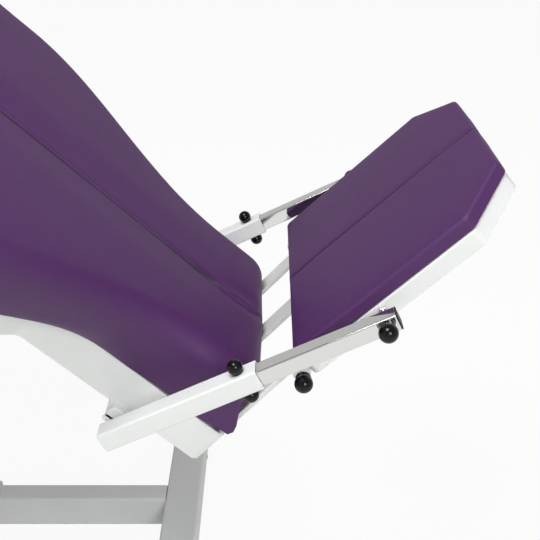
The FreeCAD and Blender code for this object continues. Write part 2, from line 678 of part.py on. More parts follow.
def skirt(name, sign):
    """A folded sheet along one side: ankle stretch, flare and torso stretch."""
    outer = [("skirt_foot", "skirt_half"), ("skirt_bend", "skirt_half"),
             ("flare_end", "skirt_torso"), ("skirt_head", "skirt_torso")]
    shift = ["0", "mitre", "mitre", "0"]
    inner = [(f"{x} - {back}", f"{y} - skirt_sheet") for (x, y), back in zip(outer, shift)]
    corners = [(x, f"({sign}) * ({y})") for x, y in outer + inner[::-1]]
    node(f"skirt_{name}", "table", plate(corners, "frame_drop", "skirt_height"))


both(skirt)
ARM_ROWS = ["-arm_spread", "0", "arm_spread"]
ARM_BOLT_ROWS = [f"frame_drop + skirt_height / 2 {way} arm_bolt_pitch / 2" for way in "-+"]
foot_sheet = box(("arm_back", "skirt_sheet - skirt_half", "frame_drop"),
                 ("skirt_foot", "skirt_half - skirt_sheet", "board_bottom"))
head_sheet = box(("skirt_head", "skirt_sheet - skirt_torso", "frame_drop"),
                 ("skirt_head + skirt_sheet", "skirt_torso - skirt_sheet", "board_bottom"))
bolt_holes = [rod("arm_bolt_radius", ("arm_back", middle, z), "skirt_sheet", "x")
              for middle in ARM_ROWS for z in ARM_BOLT_ROWS]
node("skirt_ends", "table", cut(foot_sheet, *bolt_holes), head_sheet)


def lug(sign):
    low_y, high_y = span(sign, "beam_inside - lug_thick", "beam_inside")
    upper = box(("-lug_length / 2", low_y, "0"), ("lug_length / 2", high_y, "board_bottom - beam_wall"))
    lower = rod("lug_round", ("0", low_y, "0"), "lug_thick", "y")
    trim = box(("-lug_length", low_y, "-lug_length"), ("-lug_round", high_y, "beam_low / 2"))
    trim_front = box(("lug_round", low_y, "-lug_length"), ("lug_length", high_y, "beam_low / 2"))
    return cut(fuse(upper, lower), trim, trim_front, across("shaft_radius", "0", "0", "beam_inside"))


node("tilt_shaft", "table", across("shaft_radius", "0", "0", "beam_inside"))


def drive_cheek(sign):
    low_y, high_y = span(sign, "cheek_gap", "cheek_gap + cheek_thick")
    cheek = box(("-drive_arm - cheek_half", low_y, "-cheek_half"),
                ("-drive_arm + cheek_half", high_y, "beam_low"))
    return cut(cheek, across("drive_pin_radius", "-drive_arm", "0", "beam_inside"))


node("hanger_plates", "table", lug("-1"), lug("1"), drive_cheek("-1"), drive_cheek("1"))
node("upper_drive_pin", "table", across("drive_pin_radius", "-drive_arm", "0", "cheek_gap + cheek_thick"))

# Board and main cushion, which share one outline

def half_width(x):
    """Half width of the cushion: ankle width, then half a cosine wave up to the torso width."""
    along = (size("foot_reach - ankle_length") - x) / size("flare_length")
    share = (1 - math.cos(math.pi * min(max(along, 0), 1))) / 2
    return size("ankle_half") + share * (size("torso_half") - size("ankle_half"))


def rounded(x, radius):
    """Fall of a quarter round of this radius at distance x from the end, zero further in."""
    inside = max(radius - x, 0)
    return radius - math.sqrt(max(radius * radius - inside * inside, 0))


def outline(x, inset=0.0):
    """Half width with the rounded plan corners of both ends."""
    to_foot = size("foot_reach") - inset - x
    to_head = x - size("head_end") - inset
    corner = rounded(to_foot, size("foot_corner")) + rounded(to_head, size("head_corner"))
    return half_width(x) - inset - corner


def end_steps(radius, count):
    """Distances from an end that follow a quarter round evenly."""
    return [radius * (1 - math.cos(math.pi / 2 * step / count)) for step in range(count)]


ROUND_STEPS = 6
FLARE_STEPS = 10
LEAST_STEPS = 20


def stations(inset=0.0):
    """Places along the table where the outline is drawn, foot end first."""
    foot = size("foot_reach") - inset
    head = size("head_end") + inset
    flare = size("foot_reach - ankle_length")
    step = size("flare_length") / FLARE_STEPS
    at_foot = [foot - back for back in end_steps(size("foot_corner"), ROUND_STEPS)]
    at_flare = [flare - step * index for index in range(FLARE_STEPS + 1)]
    at_head = [head + back for back in reversed(end_steps(size("head_corner"), ROUND_STEPS))]
    return at_foot + [foot - size("foot_corner")] + at_flare + [head + size("head_corner")] + at_head


def board_shape():
    """The board under the cushion, a flat sheet inside the cushion's outline."""
    inset = size("board_inset")
    edge = [(x, outline(x, inset)) for x in stations(inset)]
    loop = edge + [(x, -y) for x, y in reversed(edge)]
    points = [FreeCAD.Vector(x, y, size("board_bottom")) for x, y in loop]
    face = Part.Face(Part.makePolygon(points + points[:1]))
    return face.extrude(FreeCAD.Vector(0, 0, size("board_thick")))


shaped("cushion_board", "table", board_shape())


def arc(first, middle, last):
    return Part.Arc(first, middle, last).toShape()


SWELL_SHARE = 0.25  # of the sides' draw, half way up them
CROWN_SHARE = 0.25  # of the crown, half way across it
WALL_SHARE = 0.42  # of the channel's depth, half way down its wall


def cushion_section(x):
    """One cross-section: flat base, sides that swell, rounded shoulders, crown and sewn channel."""
    half = outline(x)
    low = size("cushion_bottom + seat_gap")
    edge = size("cushion_edge")
    fall = rounded(size("foot_reach") - x, edge) + rounded(x - size("head_end"), edge)
    top = size("cushion_bottom + cushion_thick") - fall
    shoulder = top - size("cushion_crown")
    seam = size("seam_half")
    fade = (size("foot_reach - seam_stop") - x) / size("foot_corner")
    depth = max(size("seam_depth") * min(fade, 1), size("seat_gap"))
    draw = size("cushion_draw")
    lean = edge * math.sqrt(0.5)

    def at(y, z):
        return FreeCAD.Vector(x, y, z)

    def side(sign):
        waist = shoulder - edge
        bottom = at(sign * (half - draw), low)
        swell = at(sign * (half - draw * SWELL_SHARE), (low + waist) / 2)
        side_top = at(sign * half, waist)
        knee = at(sign * (half - edge + lean), waist + lean)
        top_edge = at(sign * (half - edge), shoulder)
        crown = at(sign * (half - edge + seam) / 2, top - size("cushion_crown") * CROWN_SHARE)
        lip = at(sign * seam, top)
        wall = at(sign * seam / 2, top - depth * WALL_SHARE)
        return [arc(bottom, swell, side_top), arc(side_top, knee, top_edge), arc(top_edge, crown, lip),
                arc(lip, wall, at(0, top - depth))]

    base = Part.LineSegment(at(draw - half, low), at(half - draw, low)).toShape()
    return Part.Wire([base] + side(1) + side(-1)[::-1])


def cushion_stations():
    """The outline's stations with more at the ends' rounded edges and where the channel fades."""
    foot, head, edge = size("foot_reach"), size("head_end"), size("cushion_edge")
    extra = [foot - back for back in end_steps(edge, ROUND_STEPS // 2)] + [foot - edge]
    extra += [head + back for back in end_steps(edge, ROUND_STEPS // 2)] + [head + edge]
    extra += [foot - size("seam_stop"), foot - size("seam_stop + foot_corner")]
    places = sorted(stations() + extra, reverse=True)
    least = edge / LEAST_STEPS
    kept = [x for x, ahead in zip(places[1:-1], places) if ahead - x > least and x - head > least]
    return [foot] + kept + [head]


shaped("main_cushion", "table", Part.makeLoft([cushion_section(x) for x in cushion_stations()], True, True))

# Arms that carry the footplate, bolted inside the foot end sheet, with eyes on the heel rod

def arm(middle):
    strip = box(("arm_back - arm_thick", f"{middle} - arm_width / 2", "frame_drop"),
                ("arm_back", f"{middle} + arm_width / 2", "heel_z"))
    eye = rod("heel_eye_radius", ("heel_x", f"{middle} - arm_width / 2", "heel_z"), "arm_width", "y")
    bolts = [rod("arm_bolt_radius", ("arm_back - arm_thick", middle, z), "arm_thick", "x")
             for z in ARM_BOLT_ROWS]
    rod_hole = across("heel_rod_radius + running_gap", "heel_x", "heel_z", "plate_half")
    return cut(fuse(strip, eye), rod_hole, *bolts)


def arm_bolt(middle, z):
    head = rod("bolt_head_radius", ("skirt_foot", middle, z), "bolt_head_height", "x")
    shank = rod("arm_bolt_radius", ("arm_back - arm_thick", middle, z),
                "arm_thick + skirt_sheet + bolt_head_height / 2", "x")
    return fuse(head, shank)


node("footplate_arms", "table", *[arm(middle) for middle in ARM_ROWS])
arm_bolts = [arm_bolt(middle, z) for middle in ARM_ROWS for z in ARM_BOLT_ROWS]

# Brackets and bolts of the lower brace pivots

def brace_bracket(sign):
    low, high = "brace_foot_z - bracket_fall", "brace_foot_z + bracket_rise"
    start, end = "brace_foot_x - bracket_length / 2", "brace_foot_x + bracket_length / 2"
    face_low, face_high = span(sign, "bracket_reach - bracket_plate", "bracket_reach")
    arm_low, arm_high = span(sign, "skirt_half", "bracket_reach")
    web = box((start, face_low, low), (end, face_high, high))
    flange = box((start, arm_low, "frame_drop"), (end, arm_high, "frame_drop + bracket_plate"))
    return cut(fuse(web, flange), across("brace_pin_radius", "brace_foot_x", "brace_foot_z", "brace_side"))


def brace_bolt(sign):
    """A bolt through a bracket and the near wall of its tube, with head, washers and a nut in the tube."""
    inner = "bracket_reach - bracket_plate - bolt_head_height"
    outer = "brace_side - brace_bore / 2 + bolt_head_height + seat_gap"

    def stretch(radius, start, end):
        return pin_stretch(radius, sign, ("brace_foot_x", "brace_foot_z"), start, end)

    return fuse(stretch("brace_pin_radius", inner, outer),
                stretch("bolt_head_radius", inner, "bracket_reach - bracket_plate"),
                stretch("bolt_head_radius", "bracket_reach", "brace_side - brace_outer / 2 - seat_gap"),
                stretch("bolt_head_radius", "brace_side - brace_bore / 2 + seat_gap", outer))


node("brace_brackets", "table", brace_bracket("-1"), brace_bracket("1"))
node("frame_bolts", "table", brace_bolt("-1"), brace_bolt("1"), *arm_bolts)

# Footplate: a folded tray with ears on the heel rod, and its pad

def plate_outline(inset):
    """Corners of the footplate, seen on its face, with an even inset."""
    toe, heel = f"plate_heel + plate_length - {inset}", f"plate_heel + {inset}"
    side = f"plate_half - {inset}"
    shape = [(f"{side} - heel_cut", heel), (side, f"{heel} + heel_cut"), (side, f"{toe} - toe_cut_length"),
             (f"{side} - toe_cut_side", toe)]
    return shape + [(f"-({y})", z) for y, z in reversed(shape)]


def ear(sign):
    """A lug under the tray's heel edge, with the hole for the hinge rod."""
    low_y, high_y = span(sign, "plate_half - heel_cut - ear_thick", "plate_half - heel_cut")
    lug_block = box(("-ear_half", low_y, "-ear_half"), ("ear_half / 2", high_y, "plate_heel"))
    return cut(lug_block, across("heel_rod_radius", "0", "0", "plate_half"))


tray_shell = cut(plate(plate_outline("0"), "-tray_front", "tray_thick", "YZ"),
                 plate(plate_outline("tray_sheet"), "tray_sheet - tray_front", "tray_thick", "YZ"))
pin_holes = across("brace_pin_radius", "-brace_pin_x", "brace_pin_z", "plate_half + ear_thick")
node("footplate_tray", "foot", cut(tray_shell, pin_holes), ear("-1"), ear("1"))
node("heel_rod", "foot", across("heel_rod_radius", "0", "0", "plate_half + knob_bore_depth"))


def pad_wire(inset, forward):
    """The footplate's outline drawn in by an inset, at a distance ahead of the hinge."""
    corners = [FreeCAD.Vector(-forward, size(y), size(z)) for y, z in plate_outline(f"({inset})")]
    return Part.makePolygon(corners + corners[:1])


def pad_shape():
    """Drawn-in sides, a bevel and a low crown, with a sewn channel from heel to toe."""
    back = size("tray_front + seat_gap")
    face = size("tray_front + pad_thick")
    rise = size("pad_bevel_rise")
    draw = size("cushion_draw / 4")
    rings = [(draw, back), (0, (back + face - rise) / 2), (draw / 2, face - rise),
             (size("pad_bevel"), face), (size("pad_crown_inset"), face + size("pad_crown"))]
    body = Part.makeLoft([pad_wire(inset, forward) for inset, forward in rings], True, True)
    half, top = size("pad_seam_half"), face + size("pad_crown")
    low, high = size("plate_heel - pad_bevel"), size("plate_heel + plate_length + pad_bevel")
    channel = [FreeCAD.Vector(-top - half, -2 * half, low), FreeCAD.Vector(-top - half, 2 * half, low),
               FreeCAD.Vector(size("pad_seam_depth") - top, 0, low)]
    prism = Part.Face(Part.makePolygon(channel + channel[:1])).extrude(FreeCAD.Vector(0, 0, high - low))
    return body.cut(prism)


shaped("footplate_pad", "foot", pad_shape())


def upper_pin(sign):
    """Stud of an upper brace pivot with the spacer that holds the tube off the tray."""
    place = ("-brace_pin_x", "brace_pin_z")
    stud = pin_stretch("brace_pin_radius", sign, place, "plate_half - tray_sheet",
                       "brace_side + brace_inner / 2 + knob_bore_depth")
    spacer = pin_stretch("bolt_head_radius", sign, place, "plate_half",
                         "brace_side - brace_inner / 2 - seat_gap")
    return fuse(stud, spacer)


node("upper_brace_pins", "foot", upper_pin("-1"), upper_pin("1"))


# Braces: a square tube that slides in another, clamped by two knobs

def square_tube(sign, outside, bore, low, high):
    def prism(width):
        return box((f"-({width}) / 2", f"({sign}) * brace_side - ({width}) / 2", low),
                   (f"({width}) / 2", f"({sign}) * brace_side + ({width}) / 2", high))
    return cut(prism(outside), prism(bore))


def brace(name, sign):
    outer = square_tube(sign, "brace_outer", "brace_bore", "-brace_tail", "brace_outer_length - brace_tail")
    hole = pin_stretch("brace_pin_radius + running_gap", sign, ("0", "0"), "brace_side - brace_outer",
                       "brace_side")
    clamp = rod("clamp_stud_radius + running_gap", ("-brace_outer", f"({sign}) * brace_side", "clamp_at"),
                "2 * brace_outer", "x")
    node(f"brace_outer_{name}", "brace", cut(outer, hole, clamp))
    bore = "brace_inner - 2 * brace_inner_wall"
    inner = square_tube(sign, "brace_inner", bore, "tube_top - brace_inner_length", "tube_top")
    pin = across("brace_pin_radius + running_gap", "0", "brace_length", "brace_side + brace_outer")
    node(f"brace_inner_{name}", "brace", cut(inner, pin))
    half, side = "(brace_inner / 2 - brace_inner_wall)", f"({sign}) * brace_side"
    core = box((f"-{half}", f"{side} - {half}", "tube_top - plug_depth + brace_pin_radius"),
               (half, f"{side} + {half}", "tube_top"))
    head = box(("-brace_inner / 2", f"{side} - brace_inner / 2", "tube_top"),
               ("brace_inner / 2", f"{side} + brace_inner / 2", "tube_top + plug_head"))
    node(f"brace_plug_{name}", "brace", fuse(core, head))


both(brace)

# Ball knobs: clamp knobs on the outer tubes and pivot knobs on the pins and the heel rod

def clamp_knob(label, sign, way):
    """A knob square to a tube, with a stud through its wall."""
    side, face = f"({sign}) * brace_side", "brace_outer / 2"
    tip = "brace_bore / 2"
    ball_at = f"{way}({face} + clamp_knob_standoff)"
    neck_end = f"{face} + clamp_knob_standoff - clamp_knob_radius / 3"

    def stretch(radius, start, end):
        low = f"{start}" if way == "" else f"-({end})"
        return rod(radius, (low, side, "clamp_at"), f"({end}) - ({start})", "x")

    neck = stretch("clamp_knob_neck", f"{face} + seat_gap", neck_end)
    stud = stretch("clamp_stud_radius", tip, neck_end)
    reach = "2 * clamp_knob_radius"
    low_x, high_x = ("0", f"{face} + seat_gap") if way == "" else (f"-({face} + seat_gap)", "0")
    under = box((low_x, f"{side} - {reach}", f"clamp_at - {reach}"),
                (high_x, f"{side} + {reach}", f"clamp_at + {reach}"))
    knob = cut(ball("clamp_knob_radius", (ball_at, side, "clamp_at"), "90"), under)
    node(label, "brace", fuse(knob, neck, stud))


def pivot_knob(label, sign, face, x, z, pin_radius):
    """A knob on the end of a pin across the table."""
    neck = pin_stretch("knob_neck_radius", sign, (x, z), f"{face} + seat_gap",
                       f"{face} + knob_standoff - knob_radius / 3")
    bore = pin_stretch(f"{pin_radius} + running_gap", sign, (x, z), face,
                       f"{face} + knob_bore_depth + seat_gap")
    ball_at = (x, f"({sign}) * ({face} + knob_standoff)", z)
    node(label, "foot", cut(fuse(ball("knob_radius", ball_at), neck), bore))


def knobs(name, sign):
    clamp_knob(f"clamp_knob_top_{name}", sign, "-")
    clamp_knob(f"clamp_knob_low_{name}", sign, "")
    pivot_knob(f"brace_knob_{name}", sign, "brace_side + brace_inner / 2", "-brace_pin_x", "brace_pin_z",
               "brace_pin_radius")
    pivot_knob(f"heel_knob_{name}", sign, "plate_half", "0", "0", "heel_rod_radius")


both(knobs)

# Linear actuator, which pushes the head side up

HALF_EYE = "drive_eye_width / 2"
gear_low = ("-motor_offset - motor_radius", "-gearbox_width / 2", "gearbox_start")
gear_high = ("drive_tube_radius + running_gap", "gearbox_width / 2", "gearbox_start + gearbox_height")
lower_eye = fuse(across("drive_eye_radius", "0", "0", HALF_EYE),
                 box(("-drive_eye_radius", f"-{HALF_EYE}", "0"),
                     ("drive_eye_radius", HALF_EYE, "gearbox_start")))
pin_hole = across("drive_pin_radius + running_gap", "0", "0", "drive_eye_width")
node("drive_gearbox", "drive", cut(fuse(box(gear_low, gear_high), lower_eye), pin_hole))
tube_start = ("0", "0", "gearbox_start + gearbox_height")
tube_length = "drive_tube_end - gearbox_start - gearbox_height"
node("drive_tube", "drive", cut(rod("drive_tube_radius", tube_start, tube_length),
                                rod("drive_rod_radius + seat_gap", tube_start, tube_length)))
node("drive_motor", "drive", rod("motor_radius", ("-motor_offset", "0", tube_start[2]), "motor_length"))
upper_eye = across("drive_eye_radius", "0", "drive_length", HALF_EYE)
push_rod = rod("drive_rod_radius", ("0", "0", "drive_length - drive_rod_length"), "drive_rod_length")
upper_hole = across("drive_pin_radius + running_gap", "0", "drive_length", "drive_eye_width")
node("drive_rod", "drive", cut(fuse(push_rod, upper_eye), upper_hole))

doc.recompute()
failed = [item.Label for item in doc.Objects if "Invalid" in item.State or "Error" in item.State]
failed += [item.Label for item in nodes if item.Shape.isNull() or not item.Shape.isValid()]
if failed:
    raise RuntimeError("not built: " + ", ".join(failed))

os.makedirs("parts", exist_ok=True)
for item in nodes:
    item.Shape.exportStep(f"parts/{item.Label}.step")
print(len(nodes), "sub-parts")
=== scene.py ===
# %% [markdown]
# Dressing a motorized tilt table.
# The table is a padded top that tips about a cross shaft on a two-post base. A linear actuator under
# the top drives the tilt, and a hinged footplate at the foot end is held by two telescopic braces.
# The solid model comes in as a fixed frame. Every cell below makes one finish, or one group of pieces
# that stands for some of those solids with softer edges, sewn covers and turned or moulded detail.

# %% Load the frame
import json
import math

import bmesh
import bpy
import numpy as np
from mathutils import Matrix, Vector


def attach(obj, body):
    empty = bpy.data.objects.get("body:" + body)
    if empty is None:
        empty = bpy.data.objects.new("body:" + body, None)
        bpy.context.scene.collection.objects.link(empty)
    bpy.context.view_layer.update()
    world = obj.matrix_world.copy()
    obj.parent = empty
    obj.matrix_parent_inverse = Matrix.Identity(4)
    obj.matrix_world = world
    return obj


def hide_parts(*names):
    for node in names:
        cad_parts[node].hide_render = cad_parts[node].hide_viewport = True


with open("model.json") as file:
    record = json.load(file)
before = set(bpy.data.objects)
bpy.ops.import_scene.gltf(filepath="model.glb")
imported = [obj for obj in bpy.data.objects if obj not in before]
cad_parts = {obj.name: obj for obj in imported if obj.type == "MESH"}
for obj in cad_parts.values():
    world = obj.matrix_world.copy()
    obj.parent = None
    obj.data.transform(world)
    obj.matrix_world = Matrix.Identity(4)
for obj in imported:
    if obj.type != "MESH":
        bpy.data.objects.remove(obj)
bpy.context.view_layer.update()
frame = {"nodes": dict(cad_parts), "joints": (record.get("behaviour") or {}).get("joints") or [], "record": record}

# %% [markdown]
# Most pieces lie in one of six places that are turned about the cross axis: the base, the tilted top,
# the footplate, the actuator and the two braces. Each place could be typed in, but the joints of the
# frame already hold the pivots, so the turns are worked out from the lines between those pivots.

# %% Places of the assembly
MM = 0.001
joints = {joint["name"]: joint for joint in frame["joints"]}
slots = {row["node"]: row["material_slot"] for row in frame["record"]["subparts"]}
groups = frame["record"]["behaviour"]["bodies"]
bodies = {node: body for body, nodes in groups.items() for node in nodes}


def pivot(joint):
    """Where a joint's axis stands, in metres."""
    return np.array(joints[joint]["pos_m"], float)


def lean_between(low, high):
    """Turn about +Y that takes +Z to the line between two pivots: the arc tangent of run over rise."""
    run, _, rise = pivot(high) - pivot(low)
    return math.atan2(run, rise)


REST_TILT = math.radians(-joints["tilt"]["range_deg"][0])  # the top lies level at its lower limit
FOOT_LEAN = math.radians(3.8)  # footplate past square to the top
SIDES = ("near", "far")
PLACES = {
    "base": (np.zeros(3), 0.0),
    "table": (pivot("tilt"), REST_TILT),
    "foot": (pivot("footplate_angle"), REST_TILT + FOOT_LEAN),
    "drive": (pivot("drive_swing"), lean_between("drive_swing", "drive_rod_swing")),
}
for side in SIDES:
    lower, upper = f"brace_outer_swing_{side}", f"brace_inner_swing_{side}"
    PLACES[f"brace_{side}"] = (pivot(lower), lean_between(lower, upper))
print("turns in degrees", {name: round(math.degrees(turn), 2) for name, (_, turn) in PLACES.items()})


def carry(points, place):
    """Takes points of a place to the frame: x cos + z sin along X, z cos - x sin along Z, plus the origin."""
    origin, turn = PLACES[place]
    x, y, z = np.moveaxis(np.asarray(points, float), -1, 0)
    turned = [x * math.cos(turn) + z * math.sin(turn), y, z * math.cos(turn) - x * math.sin(turn)]
    return np.stack(turned, -1) + origin


def home(points, place):
    """Takes points of the frame back to a place: the origin comes off, then the turn goes back."""
    origin, turn = PLACES[place]
    x, y, z = np.moveaxis(np.asarray(points, float) - origin, -1, 0)
    return np.stack([x * math.cos(turn) - z * math.sin(turn), y, x * math.sin(turn) + z * math.cos(turn)], -1)


# %% [markdown]
# A finished piece has to fit the solid that it stands for. Its size could be typed in again, but it is read
# off the solid's own mesh here, along the axes of its place, so the two can't drift apart.


# %% Measure the solids
def solid_boxes(node, place):
    """Low and high corners of each separate solid of a node, along a place's own axes.

    Triangles that share a corner belong together: each corner takes the lowest number among its triangles
    until nothing changes. So solids that meet at shared corners, such as a fork and its axle, count as one.
    """
    mesh = frame["nodes"][node].data
    points = np.empty(len(mesh.vertices) * 3, np.float32)
    mesh.vertices.foreach_get("co", points)
    corners = np.empty(len(mesh.loops), np.int32)
    mesh.loops.foreach_get("vertex_index", corners)
    points = points.reshape(-1, 3)
    _, first, number = np.unique(np.round(points, 6), axis=0, return_index=True, return_inverse=True)
    triangles = number.reshape(-1)[corners].reshape(-1, 3)
    label = np.arange(len(first))
    while True:
        lowest = label.copy()
        np.minimum.at(lowest, triangles.ravel(), np.repeat(label[triangles].min(1), 3))
        if (lowest == label).all():
            break
        label = lowest
    at_home = home(points[first], place)
    boxes = [(at_home[label == one].min(0), at_home[label == one].max(0)) for one in np.unique(label)]
    return sorted(boxes, key=lambda box: tuple(np.round(box[0], 4)))


def span(node, place):
    """Low and high corners of a whole node along a place's own axes."""
    boxes = solid_boxes(node, place)
    return np.min([low for low, _ in boxes], 0), np.max([high for _, high in boxes], 0)


cushion_low, cushion_high = span("main_cushion", "table")
print("cushion size in mm", np.round((cushion_high - cushion_low) / MM, 1))

# %% [markdown]
# The finishes come first. Each one starts from the real material and how its surface was made. A
# picture of each surface could be wrapped on, but nodes that work from the object's own coordinates
# need no pictures and stay sharp at every distance.


# %% Node and colour helpers
def linear(code):
    """Turns an sRGB hex colour to linear light: the low part divided, the rest raised to the power 2.4."""
    share = np.array([int(code[i:i + 2], 16) for i in (1, 3, 5)]) / 255
    light = np.where(share <= 0.04045, share / 12.92, ((share + 0.055) / 1.055) ** 2.4)
    return (*light, 1.0)


def add(tree, kind, settings=None, inputs=None):
    """Adds one node, sets its properties, and gives its inputs values or links from other sockets."""
    node = tree.nodes.new(kind)
    for name, value in (settings or {}).items():
        setattr(node, name, value)
    for name, value in (inputs or {}).items():
        if isinstance(value, bpy.types.NodeSocket):
            tree.links.new(value, node.inputs[name])
        else:
            node.inputs[name].default_value = value
    return node


def new_finish(name, colour, roughness, **sockets):
    """A material with its plain values on the shader's own sockets. Gives it, its tree and its shader."""
    material = bpy.data.materials.new(name)
    material.use_nodes = True
    shader = material.node_tree.nodes["Principled BSDF"]
    shader.inputs["Base Color"].default_value = linear(colour)
    shader.inputs["Roughness"].default_value = roughness
    for socket, value in sockets.items():
        shader.inputs[socket.replace("_", " ")].default_value = value
    return material, material.node_tree, shader


def per_metre(size_mm):
    """Pattern scale on coordinates in metres for features of this size in millimetres."""
    return 1 / (size_mm * MM)


def noise(tree, place, size_mm, detail):
    """Noise with features of one size, on coordinates in metres."""
    inputs = {"Vector": place, "Scale": per_metre(size_mm), "Detail": detail}
    return add(tree, "ShaderNodeTexNoise", inputs=inputs).outputs["Fac"]


def blend(tree, share, first, second):
    """A colour between two, by a share."""
    return add(tree, "ShaderNodeMix", {"data_type": "RGBA"}, {0: share, 6: first, 7: second}).outputs[2]


def gloss(tree, marks, smooth, dull):
    """Roughness from smooth to dull as the marks go from 0 to 1."""
    inputs = {"Value": marks, "To Min": smooth, "To Max": dull}
    return add(tree, "ShaderNodeMapRange", inputs=inputs).outputs["Result"]


def relief(tree, height, strength, depth_mm):
    """Small bumps of a depth in millimetres."""
    inputs = {"Height": height, "Strength": strength, "Distance": depth_mm * MM}
    return add(tree, "ShaderNodeBump", inputs=inputs).outputs["Normal"]


def plug(tree, shader, **sockets):
    """Links patterns to the shader's inputs by name."""
    for socket, pattern in sockets.items():
        tree.links.new(pattern, shader.inputs[socket.replace("_", " ")])


FINISHES = {}
print("white in linear light", linear("#ffffff"))

# %% [markdown]
# The covers are upholstery vinyl: soft PVC on a knitted back, embossed with a very fine leather
# grain. It has a satin gloss with a broad, milky highlight. A flat purple would look like paint, so
# the colour drifts slowly over the cover, and cells under a millimetre wide break the gloss.


# %% Purple upholstery vinyl
def purple_vinyl():
    """Embossed satin vinyl: drifting purple, small grain cells and a broad sheen."""
    material, tree, shader = new_finish("upholstery_vinyl_purple", "#4b1f5a", 0.55, IOR=1.5)
    place = add(tree, "ShaderNodeTexCoord").outputs["Object"]
    tone = blend(tree, noise(tree, place, 240, 2.0), linear("#461b55"), linear("#4c215c"))
    # The real grain is about 0.6 mm and would not show, so it is drawn at 1.1 mm.
    grain = add(tree, "ShaderNodeTexVoronoi", {"feature": "SMOOTH_F1"},
                {"Vector": place, "Scale": per_metre(1.1), "Smoothness": 0.6})
    # The seam attribute darkens the purple towards #22082e across the channel. This is painted shade in the seam's
    # crease.
    seam_hold_and_shade = add(tree, "ShaderNodeAttribute", {"attribute_name": "seam_hold_and_shade"}).outputs["Fac"]
    plug(tree, shader, Base_Color=blend(tree, seam_hold_and_shade, tone, linear("#22082e")),
         Roughness=gloss(tree, noise(tree, place, 9, 3.0), 0.50, 0.60),
         Normal=relief(tree, grain.outputs["Distance"], 0.10, 0.15))
    return material


FINISHES["purple_vinyl"] = purple_vinyl()
print("made", FINISHES["purple_vinyl"].name)

# %% [markdown]
# The steel frame is powder coated. The powder melts to a thick skin with a faint orange peel, a
# couple of millimetres from hump to hump, which softens every reflection. Rims wear a little duller
# than flats, which the slow noise in the roughness stands for. The grey arms have the same skin.


# %% White and grey powder coat
def powder_coat(name, dark, light):
    """Baked powder: two close tones, satin gloss and an orange peel of about two millimetres."""
    material, tree, shader = new_finish(name, light, 0.36, IOR=1.5)
    place = add(tree, "ShaderNodeTexCoord").outputs["Object"]
    drift = noise(tree, place, 90, 3.0)
    plug(tree, shader, Base_Color=blend(tree, drift, linear(dark), linear(light)),
         Roughness=gloss(tree, drift, 0.30, 0.44),
         Normal=relief(tree, noise(tree, place, 2.2, 1.0), 0.12, 0.12))
    return material


FINISHES["white_paint"] = powder_coat("powder_coat_white", "#e4e6e5", "#eceeed")
FINISHES["grey_paint"] = powder_coat("powder_coat_pale_grey", "#dcdedb", "#e4e6e3")
print("made", FINISHES["white_paint"].name, "and", FINISHES["grey_paint"].name)

# %% [markdown]
# Four metals show: bright chrome on the sliding tubes, zinc-plated and turned steel on pins and
# studs, anodised aluminium on the actuator, and copper and bronze inside. A metal's colour is in its
# reflection, so metallic is one and the roughness tells them apart.


# %% Metals
def metal(name, colour, smooth, dull, mark_mm, stretch=(1, 1, 1), depth=0.0):
    """A metal whose gloss runs between two roughness values in marks of one size.

    The stretch draws the marks out along an axis, as turning and drawing do, and a depth above zero
    raises them.
    """
    material, tree, shader = new_finish(name, colour, smooth, Metallic=1.0)
    place = add(tree, "ShaderNodeTexCoord").outputs["Object"]
    drawn = add(tree, "ShaderNodeMapping", inputs={"Vector": place, "Scale": stretch}).outputs["Vector"]
    marks = noise(tree, drawn, mark_mm, 3.0)
    plug(tree, shader, Roughness=gloss(tree, marks, smooth, dull))
    if depth:
        plug(tree, shader, Normal=relief(tree, marks, 0.3, depth))
    return material


FINISHES["chrome"] = metal("chrome_plate", "#dcdcda", 0.03, 0.10, 40)
FINISHES["steel"] = metal("turned_steel", "#b4b6b8", 0.22, 0.38, 3, (1, 6, 1), 0.02)
FINISHES["aluminium"] = metal("anodised_aluminium", "#b9bcc0", 0.28, 0.36, 1.5, (1, 1, 0.1), 0.01)
FINISHES["bronze"] = metal("sintered_bronze", "#b08a52", 0.35, 0.5, 0.8, depth=0.05)
FINISHES["winding"] = metal("enamelled_copper", "#b9743a", 0.25, 0.35, 0.9, (1, 1, 8), 0.1)
print("metals", [FINISHES[slot].name for slot in ("chrome", "steel", "aluminium", "bronze", "winding")])

# %% [markdown]
# The plastics and rubbers are moulded. The mould is spark eroded for the box and the caps, which
# leaves a fine matte grain, and polished for the ball knobs, which come out as glossy as glass.


# %% Moulded plastics, rubbers and boards
def moulded(name, dark, light, smooth, dull, grain_mm, depth, **sockets):
    """Moulded material: two close tones in patches, a roughness range and a grain of one size."""
    material, tree, shader = new_finish(name, light, smooth, **sockets)
    place = add(tree, "ShaderNodeTexCoord").outputs["Object"]
    patch = noise(tree, place, 25, 3.0)
    plug(tree, shader, Base_Color=blend(tree, patch, linear(dark), linear(light)),
         Roughness=gloss(tree, patch, smooth, dull),
         Normal=relief(tree, noise(tree, place, grain_mm, 2.0), 0.25, depth))
    return material


